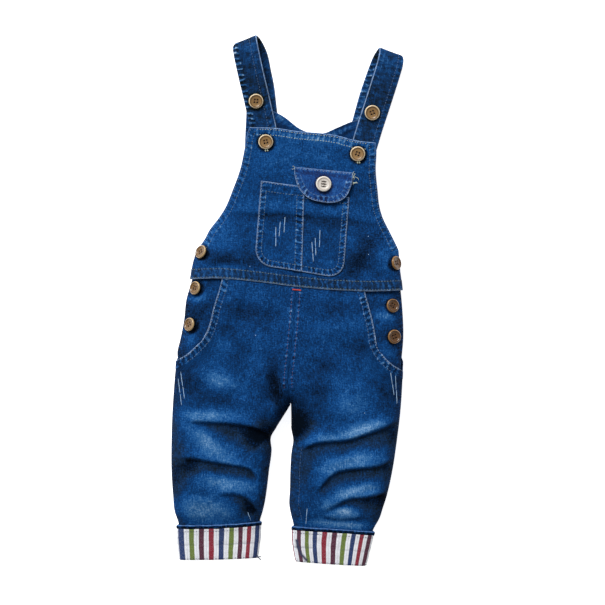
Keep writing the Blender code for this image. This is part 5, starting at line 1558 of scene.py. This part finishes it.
POCKET_HEMS = table(
    Hem,
    (pocket_line(0.0, 0.0, POCKET_LEFT_TOP), 7.0, 1.0, 0.8),
    (level_line(POCKET_AXES, 0.0, 0.0, POCKET_LAP_TO), 11.5, 1.0, 0.3),
    (lap_line(0.0, 0.0, POCKET_DEPTH), 8.6, 1.0, 1.0),
    (level_line(POCKET_AXES, POCKET_LEFT_TOP, 52.0, POCKET_WIDTH), 9.0, 1.0, 0.5),
)
FLAP_HEMS = table(
    Hem, (flap_line(0.0), 7.2, 1.0, 1.0), (level_line(FLAP_AXES, 0.0, 0.0, FLAP_WIDTH, 40), 3.0, 0.7, 0.3),
)


# Buttons

# A button's turned outline, as shares of its radius and heights above its back: back, edge, rim and dish.
TURNED = [
    (0.05, 0.0), (0.50, 0.0), (0.86, 0.05), (0.97, 0.7), (1.0, 1.5), (0.98, 2.3), (0.92, 2.95), (0.84, 3.2),
    (0.76, 3.1), (0.69, 2.65), (0.62, 2.3), (0.45, 2.12), (0.25, 2.05), (0.05, 2.05),
]
DISH_ROW, DISH_HEIGHT = 10, 2.05  # where the dish starts, and its height
HOLE_RADIUS, HOLE_OUT = 1.0, 2.35
FLAP_SPIN = -5.8  # the flap's button is level with the flap
# The buttons that pull their holes' worn ends from under them, and those ends: aside, out, and how high.
WORN_HOLES = ("button_bib_right", "button_bib_left", "button_armhole_left")
HOLE_ENDS = ((-2.0, 2.4, 0.5), (-1.3, 3.0, 0.9), (1.2, 2.8, 0.7), (2.0, 2.0, 0.5))


def seat(points, size, tilt=0.0):
    """Where a button stands on a square grid of points: clear of all of them within its rim, on the middle
    one's normal, leaned by tilt degrees towards +X."""
    middle = len(points) // 2
    centre, normal = points[middle, middle], grid_normals(points)[middle, middle]
    cos, sin = math.cos(math.radians(tilt)), math.sin(math.radians(tilt))
    outward = np.array([normal[0] * cos + normal[2] * sin, normal[1], normal[2] * cos - normal[0] * sin])
    offset = points - centre
    under_button = np.linalg.norm(offset, axis=-1) < size / 2 + 1
    return centre + outward * (np.max((offset @ outward)[under_button]) + GAP), outward


def seats():
    """Each button's name, the middle of its back, the direction it faces and its size."""
    lifts = {
        "front": lambda x, y: 0.0,
        "facing": lambda x, y: -(CLOTH + FACING_GAP) * 1.1,
        "flap": lambda x, y: flap_lift_at(x, y) + CLOTH,
    }
    step = np.linspace(-10, 10, 21)
    for spot in BUTTONS:
        x, y = np.meshgrid(spot.x + step, spot.y + step)
        points = joined(x, y, front_height(x, y) + lifts[spot.on](x, y))
        yield spot.name, *seat(points, spot.size, spot.tilt), spot.size
    for strap in STRAPS:
        across, along = np.meshgrid(strap.button.across + step / 18, strap.button.along + step / 18)
        middle = strap_points(strap, along, across)
        points = middle + grid_normals(middle) * (DOUBLE_CLOTH / 2 + 0.1)
        yield "button_strap_" + strap.side, *seat(points, strap.button.size), strap.button.size


def button_axes(outward, spin):
    side = unit(np.cross((0.0, 1.0, 0.0), outward))
    up = np.cross(outward, side)
    cos, sin = math.cos(math.radians(spin)), math.sin(math.radians(spin))
    return side * cos + up * sin, up * cos - side * sin


def make_button(node, centre, outward, size, spin, finish, slot, depth):
    """The outline turned round the button's middle; four pits sink from the dish where the sewing holes are:
    each sinks by depth, with a short eased wall."""
    where = np.concatenate([np.linspace(0, 11, 26)[:-1], np.linspace(11, 13, 19)])
    radius, height = (through(values, where)[:, None] for values in np.array(TURNED).T)
    turn = np.linspace(0, 2 * np.pi, BUTTON_SIDES, endpoint=False)
    x, y = radius * size / 2 * np.cos(turn), radius * size / 2 * np.sin(turn)
    hollow = 0 * x
    for quarter in range(4):
        angle = math.pi / 4 + quarter * math.pi / 2
        away = np.hypot(x - HOLE_OUT * math.cos(angle), y - HOLE_OUT * math.sin(angle))
        hollow = np.maximum(hollow, 1 - ease((away - HOLE_RADIUS + 0.25) / 0.4))
    hollow = hollow * (where >= DISH_ROW)[:, None]
    across, up = button_axes(outward, spin)
    z = height - depth * hollow
    points = (x[..., None] * across + y[..., None] * up + z[..., None] * outward).reshape(-1, 3) + centre
    points = np.concatenate([points, [centre, centre + outward * DISH_HEIGHT]])
    piece = mesh_piece(node + "_turned", points, tube_faces(len(where), BUTTON_SIDES), finish, slot)
    paint(piece, "radius", np.append(radius + 0 * x, [0, 0]))
    paint(piece, "hollow", np.append(hollow, [0, 0]))
    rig.replaces(piece, node)


def sewn_through(centre, outward, spin, level):
    """The threads over a button's dish: two or three short runs between the holes, lying side by side."""
    across, up = button_axes(outward, spin)
    ahead, side, half = (across, up, 3.6) if level else (up, across, HOLE_OUT * 0.8)
    t = np.linspace(-1, 1, 9)[:, None]
    for off in (-3.0, 0.0, 3.0) if level else (-HOLE_OUT * 0.76, HOLE_OUT * 0.76):
        line = centre + ahead * t * half + side * off + outward * (2.4 - 0.45 * t**4)
        yield line, np.broadcast_to(outward, line.shape)


def hole_ends(node, centre, size):
    """Paths of the worn threads at the end of a buttonhole, where it comes out from under the button."""
    away = np.array((-1.0, 0.1, 0)) if "armhole" in node else np.array((0.1, -1.0, 0))
    aside = np.array((away[1], -away[0], 0))
    foot = centre + away * (size / 2 + 0.4) + (0, 0, 0.3)
    for off, out, rise in HOLE_ENDS:
        start = foot + aside * off * 0.7 - away * 1.6
        yield [start, start + away * out * 0.9 + (0, 0, rise), foot + aside * off + away * out * 0.8 + (0, 0, 0.2)]


def make_buttons():
    """Turned buttons, their threads, and the buttonholes' worn ends under some of them."""
    runs, ends = [], []
    for (node, centre, outward, size), spin in zip(seats(), SPINS):
        if node == "button_flap":
            make_button(node, centre, outward, size, FLAP_SPIN, SHELLS["pale"], "pale_button", 0.5)
            stitched("button_threads_flap", list(sewn_through(centre, outward, FLAP_SPIN, True)), "dark", 6,
                     length=7.0, gap=0.0, thick=1.1)
            continue
        at_side = "armhole" in node or "hip" in node
        shell = ("dark" if "left" in node else "orange") if at_side else "brown"
        make_button(node, centre, outward, size, spin, SHELLS[shell], "brown_button", 1.75)
        runs += sewn_through(centre, outward, spin, False)
        if node in WORN_HOLES:
            ends += hole_ends(node, centre, size)
    stitched("button_threads", runs, "umber", 5, length=3.7, gap=0.0, thick=0.6)
    thread_ends("buttonhole_ends", ends, "cream", 0.8)


# Stitching


def stitch_bib():
    face = hemmed_face(on_front, BIB_HEMS)
    right, left = sampled(ARMHOLE_RIGHT, 60.0, 202.5), sampled(ARMHOLE_LEFT, 60.0, 184.5)
    sides = [moved(line, sign * by) for line, sign in ((right, -1), (left, 1)) for by in (1.9, 7.6)]
    top = across_line(BIB_TOP, -46.0, 102.0)
    tops = [moved(top, -by)[4:-4] for by in (2.0, 8.5)]
    stitched("stitches_armholes", rows_on(face, sides), "tan", 11, length=2.1, gap=0.9, thick=0.42)
    stitched("stitches_bib_top", rows_on(face, tops), "cream", 12, length=2.1, gap=1.0, thick=0.5)


def stitch_waistband():
    face = hemmed_face(on_front, lift=GAP + CLOTH + 0.1)
    middle = across_line(WAIST_LINE, -113.0, 133.0, 120)
    upper, lower = moved(middle, WAISTBAND_WIDTH / 2 - 1.6), moved(middle, -WAISTBAND_WIDTH / 2 + 1.3)
    stitched("stitches_waist_upper", rows_on(face, [upper]), "tan", 13, length=3.0, gap=0.4, thick=0.42)
    stitched("stitches_waist_lower", rows_on(face, [lower], 0.14), "tan", 14, length=3.0, gap=0.4, thick=0.5)


def stitch_leg(leg):
    """The pocket mouth's two rows and the left inseam's."""
    hems = leg_hems(leg)
    face = hemmed_face(on_front, hems)
    mouth = hems[0].line
    mouth = mouth[mouth[:, 1] < waist(mouth[:, 0]) - WAISTBAND_WIDTH / 2 - 1]
    outer, inner = moved(mouth, leg.sign * 1.1)[2:], moved(mouth, leg.sign * 7.4)[4:]
    stitched("stitches_mouth_" + leg.side, rows_on(face, [outer], 0.14), "pale", 15, thick=0.42)
    stitched("stitches_mouth_inner_" + leg.side, rows_on(face, [inner]), "blue", 16, thick=0.5)
    if leg.side == "left":
        inseam = moved(sampled(leg.inseam, -262.0, -172.0), -11.0)
        stitched("stitches_inseam", rows_on(face, [inseam], 0.02), "blue", 17, length=3.4, gap=0.3, thick=0.26)


def stitch_fly():
    """Two rows beside the centre seam, and a close red bar across its head."""
    face = hemmed_face(on_front, lift=HEM_RISE)
    seam = sampled(CENTRE_SEAM, -104.0, 9.5)
    rows = rows_on(face, [moved(seam, by) for by in (-FLY_ROWS, FLY_ROWS)])
    steps = np.linspace(-4.6, 4.6, 15)
    bar = [face(np.full(2, 10.3 + across), np.array([10.8, 13.0]) - across * 0.1) for across in steps]
    stitched("stitches_fly", rows, "russet", 18, length=3.0, gap=0.5, thick=0.42)
    stitched("bartack_fly", lifted(bar, 0.35), "red", 19, length=2.2, gap=0.0, thick=0.64)


def stitch_pocket():
    """Rows along the pocket's edges, its two hems and its lap; each half's face is one layer thick."""
    tilt, lean = math.radians(POCKET_AXES.tilt), math.radians(POCKET_AXES.lean)

    def lift(x, y):
        dx, dy = x - POCKET_AXES.x, y - POCKET_AXES.y
        across = (dx * math.cos(lean) - dy * math.sin(lean)) / math.cos(tilt - lean)
        down = POCKET_AXES.y - y - across * math.sin(tilt)
        return CLOTH + np.where(across < POCKET_LAP_TO + pocket_drift(down), pocket_lift(across, down), GAP)

    face = hemmed_face(on_front, POCKET_HEMS, lift)
    edges = [pocket_line(1.2, 1.0, POCKET_LEFT_TOP + 1), level_line(POCKET_AXES, 1.4, 1.0, 50.0)]
    edges += [lap_line(1.3, 1.5, 98.0)]
    inner = [pocket_line(6.6, 12.0, POCKET_LEFT_TOP + 10), level_line(POCKET_AXES, 11.2, 1.5, 50.0)]
    inner += [level_line(POCKET_AXES, 13.0, 53.0, 103.0), lap_line(8.2, 12.0, 97.5)]
    stitched("stitches_pocket_edge", rows_on(face, edges), "pale", 20, thick=0.4)
    stitched("stitches_pocket", rows_on(face, inner), "tan", 21, thick=0.44)


def stitch_flap():
    face = hemmed_face(on_front, FLAP_HEMS, lambda x, y: flap_lift_at(x, y) + CLOTH)
    edges = [moved(flap_line(0.0), 1.4)[3:-3], level_line(FLAP_AXES, 1.6, 2.0, FLAP_WIDTH - 2)]
    stitched("stitches_flap_edge", rows_on(face, edges), "pale", 22, thick=0.4)
    stitched("stitches_flap", rows_on(face, [flap_line(6.8)]), "blue", 23, length=3.0, gap=0.4, thick=0.42)


def stitch_strap(strap):
    """A row inside the +X edge, on the strap's outer face all the way to its root."""
    along = np.linspace(1.0, len(strap.rows) - 1.05, 340)
    across = 1 - strap.stitches_in * 2 / STRAP_WIDTH + np.array([-0.02, 0.0, 0.02])
    grid = strap_points(strap, *np.meshgrid(along, across, indexing="ij"))
    out = grid_normals(grid)[:, 1]
    row = (grid[:, 1] + out * (DOUBLE_CLOTH / 2 + HEM_RISE * 0.5), out)
    stitched("stitches_strap_" + strap.side, lifted([row], 0.1), "blue", 25, thick=0.4)


def stitch_cuff(leg):
    """A row under the denim edge and one above the turned-up fold, all round."""
    rings, outs = facing_rings(leg, CUFF_STITCH_ROWS)
    runs = []
    for share in (0.86, 0.07):
        at = share * (CUFF_STITCH_ROWS - 1)
        low = int(at)
        ring = rings[low] * (1 - at + low) + rings[low + 1] * (at - low)
        out = unit(outs[low] * (1 - at + low) + outs[low + 1] * (at - low))
        lift = GAP + CUFF_FLARE * share * (1 + np.minimum(out[..., 2], 0)) + CUFF_CLOTH + 0.15
        closed = np.append(np.arange(len(ring)), 0)
        runs.append(((ring + out * lift[:, None])[closed], out[closed]))
    stitched("stitches_cuff_" + leg.side, runs, "navy", 26, thick=0.5)


def stitch_back():
    """The back's hems and the centre back seam, finished as the front's are."""
    face = hemmed_face(on_back)
    seam, band = sampled(CENTRE_SEAM, -104.0, 14.0), across_line(WAIST_LINE, -110.0, 128.0)
    neck = across_line(NECKLINE, -20.0, 80.0)
    legs = [moved(seam, by) for by in (-BACK_SEAM_ROWS, BACK_SEAM_ROWS)]
    stitched("stitches_back_seam", rows_on(face, legs, 0.02), "tan", 27)
    stitched("stitches_back_waist", rows_on(face, [band + (0, by) for by in (1.6, 8.6)], 0.02), "tan", 28)
    stitched("stitches_neck", rows_on(face, [neck - (0, by) for by in (2.0, 8.0)], 0.02), "blue", 29)


# Bared weft threads: on the pocket, then on the legs, each from (x, y) to (x, y), and the places of small flecks.
POCKET_SCRATCHES = [
    (-14.2, 86.0, -14.6, 62.5), (-8.9, 92.0, -10.6, 74.5), (-3.5, 97.5, -4.8, 79.0),
    (28.3, 68.0, 29.6, 44.8), (32.2, 73.0, 32.6, 52.0), (37.8, 82.5, 36.6, 61.5),
]
LEG_SCRATCHES = [
    (-126.0, -84.0, -121.6, -116.0), (-129.0, -92.0, -125.0, -124.0), (120.0, -82.0, 124.5, -112.0),
    (126.0, -84.0, 128.0, -122.0), (22.6, -245.0, 20.8, -264.0), (-47.2, -249.5, -43.6, -260.5),
]
FLECKS = [(94.4, 75.5), (94.4, 54.0), (-44.8, 40.0), (-38.0, -41.0), (89.7, -132.0)]


def make_scratches():
    """Short broken rows of bared weft on the pocket and on the legs."""
    pocket, plain = hemmed_face(on_front, POCKET_HEMS, GAP + CLOTH), hemmed_face(on_front)
    places = [(pocket, *place, 12) for place in POCKET_SCRATCHES] + [(plain, *place, 12) for place in LEG_SCRATCHES]
    places += [(plain, x, y, x + 0.3, y - 1.2, 4) for x, y in FLECKS]
    marks = [on_face(face, np.linspace((x0, y0), (x1, y1), count)) for face, x0, y0, x1, y1, count in places]
    strokes = []
    for points, _ in lifted(marks, -0.08):
        cut = 1 + len(points) * 5 // 9
        strokes += [points[:cut], points[cut - 1 :] + (0.25, 0, 0)] if len(points) > 8 else [points]
    thread_ends("scratches", strokes, "chalk", 0.8)


FLAP_CURLS = table(
    Curl, (76.2, 145, 25, 6, 1.6, 5), (76, 143, -20, 6.5, 1.2, -5.5), (76, 140, -75, 5, 1, 5),
    (77, 146, 60, 4.5, 1.4, -4), (76, 138, -25, 6.5, 0.9, 5), (77, 135.5, 15, 5, 0.8, -6), (77.5, 141, 70, 5, 1, 4),
    (8.5, 157, 140, 3.6, 0.8, 5), (8, 156, 190, 3.2, 0.8, -4),
)
CUFF_CURLS = table(Curl, (-36.5, -299.5, -80, 8, 5, 3.4), (-38, -303.5, -20, 7, 4.4, -2.6))


def make_tufts():
    """Curled thread ends at the flap's two top corners, and dark ones at the right cuff's lower corner."""
    face = hemmed_face(on_front, lift=1.0)

    def path(curl):
        t = np.linspace(0, 1, 11)
        ahead = math.radians(curl.turn)
        angle = ahead + t * curl.loops
        x = curl.x + curl.size * (t * math.cos(ahead) + 0.22 * (np.sin(angle) - math.sin(ahead)))
        y = curl.y + curl.size * (t * math.sin(ahead) - 0.22 * (np.cos(angle) - math.cos(ahead)))
        return face(x, y)[0] + joined(0, 0, 0.3 + curl.rise * np.sin(np.pi * t))

    thread_ends("loose_threads", [path(curl) for curl in FLAP_CURLS], "cream", 0.46)
    thread_ends("loose_threads_cuff", [path(curl) for curl in CUFF_CURLS], "navy", 1.15)


# Stage

FLOOR_REACH, FLOOR_Z = 40.0, -0.0006  # in metres
CAMERA_AWAY, SENSOR = 3.2, 36.0  # metres above the garment's side edges, and millimetres
PICTURE_WIDTH = 605 * 1.18 * MM  # what the picture's width covers at that height, in metres


def make_stage():
    """A pale floor, a large soft key light from above the shoulders, and an even white surround."""
    mesh = bpy.data.meshes.new("floor")
    corners = [(x * FLOOR_REACH, y * FLOOR_REACH, FLOOR_Z) for x, y in ((-1, -1), (1, -1), (1, 1), (-1, 1))]
    mesh.from_pydata(corners, [], [(0, 1, 2, 3)])
    floor = bpy.data.objects.new("floor", mesh)
    bpy.context.scene.collection.objects.link(floor)
    finish = Finish("pale_floor", 0.9, 0.1)
    grain = finish.noise(finish.place(), 30.0, 2.0).eased(-1, 1)
    finish.give("Base Color", finish.mixed(grain, shade(240, 240, 240), shade(246, 246, 246)))
    finish.give("Emission Color", (1, 1, 1, 1))
    finish.give("Emission Strength", 0.84)
    mesh.materials.append(finish.material)
    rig.stage(floor)

    sun = bpy.data.lights.new("key", "SUN")
    sun.energy, sun.angle = 3.7, math.radians(24)
    key = bpy.data.objects.new("key", sun)
    key.rotation_euler = (math.radians(-50), 0, math.radians(24))
    bpy.context.scene.collection.objects.link(key)

    world = bpy.data.worlds.new("studio")
    world.use_nodes = True
    world.node_tree.nodes["Background"].inputs["Color"].default_value = (1, 1, 1, 1)
    world.node_tree.nodes["Background"].inputs["Strength"].default_value = 0.36
    bpy.context.scene.world = world
    bpy.context.scene.view_settings.view_transform = "Standard"


def make_camera():
    """Straight above the garment, with a long lens."""
    camera = bpy.data.cameras.new("camera")
    camera.sensor_width, camera.lens = SENSOR, SENSOR * CAMERA_AWAY / PICTURE_WIDTH
    camera.clip_end = 100.0
    holder = bpy.data.objects.new("camera", camera)
    holder.location = (0.01711 + MOVED_X * MM, -0.00295 + MOVED_Y * MM, CAMERA_AWAY + 0.011)
    bpy.context.scene.collection.objects.link(holder)
    bpy.context.scene.camera = holder


# Cloth as cut: each piece's flat width and length in mm and its flat area in square cm, what it lies on, and
# the stitches, buttons and thread ends that lie on it.  All round, for the cuffs.
CUTS = table(
    Cut,
    ("back_panel", 251.8, 209.2, 352.0, ["floor"], ["stitches_neck", "stitches_back_waist"]),
    ("back_leg_right", 149.4, 337.0, 421.0, ["floor"], ["stitches_back_seam"]),
    ("back_leg_left", 140.4, 333.8, 413.0, ["floor"], []),
    ("strap_right", 29.4, 267.4, 78.6, ["floor"], ["stitches_strap_right", "button_strap_right_turned"]),
    ("strap_left", 29.4, 264.8, 77.8, ["floor"], ["stitches_strap_left", "button_strap_left_turned"]),
    ("bib", 278.4, 190.0, 354.0, ["back_panel_cloth", "strap_right_cloth", "strap_left_cloth"],
     ["stitches_armholes", "stitches_bib_top", "button_bib_right_turned", "button_bib_left_turned",
      "button_armhole_right_turned", "button_armhole_left_turned", "button_threads", "buttonhole_ends"]),
    ("hip_facing_right", 69.6, 116.4, 62.0, ["back_leg_right_cloth"],
     ["button_hip_upper_right_turned", "button_hip_lower_right_turned"]),
    ("hip_facing_left", 75.0, 111.6, 63.0, ["back_leg_left_cloth"],
     ["button_hip_upper_left_turned", "button_hip_lower_left_turned"]),
    ("front_leg_right", 160.2, 343.4, 412.0, ["back_leg_right_cloth", "hip_facing_right_cloth"],
     ["stitches_mouth_right", "stitches_mouth_inner_right", "stitches_fly", "bartack_fly"]),
    ("front_leg_left", 150.6, 337.8, 402.0, ["back_leg_left_cloth", "hip_facing_left_cloth"],
     ["stitches_mouth_left", "stitches_mouth_inner_left", "stitches_inseam"]),
    ("waistband", 281.0, 13.0, 36.0, ["bib_cloth", "front_leg_right_cloth", "front_leg_left_cloth"],
     ["stitches_waist_upper", "stitches_waist_lower"]),
    ("bib_pocket_left", 62.6, 96.6, 59.5, ["bib_cloth"], []),
    ("bib_pocket_right", 57.4, 101.2, 55.6, ["bib_cloth", "bib_pocket_left_cloth"],
     ["stitches_pocket_edge", "stitches_pocket", "scratches"]),
    ("pocket_flap", 69.4, 39.4, 24.2, ["bib_cloth", "bib_pocket_right_cloth"],
     ["stitches_flap_edge", "stitches_flap", "button_flap_turned", "button_threads_flap", "loose_threads"]),
    ("cuff_right", 201.2, 38.6, 77.4, ["floor", "front_leg_right_cloth"],
     ["stitches_cuff_right", "loose_threads_cuff"]),
    ("cuff_left", 193.8, 37.6, 72.6, ["floor", "front_leg_left_cloth"], ["stitches_cuff_left"]),
    ("cuff_edge_right", 204.2, 10.0, 8.8, ["floor", "front_leg_right_cloth"], []),
    ("cuff_edge_left", 197.8, 10.0, 8.5, ["floor", "front_leg_left_cloth"], []),
)


def declare_cloth():
    """Says of every cloth piece how it was cut and how it lies."""
    pieces = bpy.data.objects
    for cut in CUTS:
        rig.sheet(
            pieces[cut.node + "_cloth"],
            flat=(cut.width * MM, cut.length * MM),
            held="laid",
            rests_on=cut.rests_on,
            area=cut.area / 10000,
            with_pieces=[pieces[name] for name in cut.carries],
        )


def main():
    make_stage()
    make_camera()
    for make in (make_back_panel, make_bib, make_waistband):
        make()
    for strap in STRAPS:
        make_strap(strap)
    make_bib_pocket()
    make_flap()
    for leg in LEGS:
        for make in (make_back_leg, make_front_leg, make_hip_facing, make_cuff, make_cuff_edge):
            make(leg)
    for stitch in (stitch_bib, stitch_waistband, stitch_fly, stitch_pocket, stitch_flap, stitch_back):
        stitch()
    for leg in LEGS:
        stitch_leg(leg)
        stitch_cuff(leg)
    for strap in STRAPS:
        stitch_strap(strap)
    for make in (make_scratches, make_tufts, make_buttons):
        make()
    declare_cloth()


main()
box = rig.bounds()
with open("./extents.json", "w") as f:
    json.dump({"cad": [list(corner) for corner in cad_box], "visual": [list(corner) for corner in box]}, f)
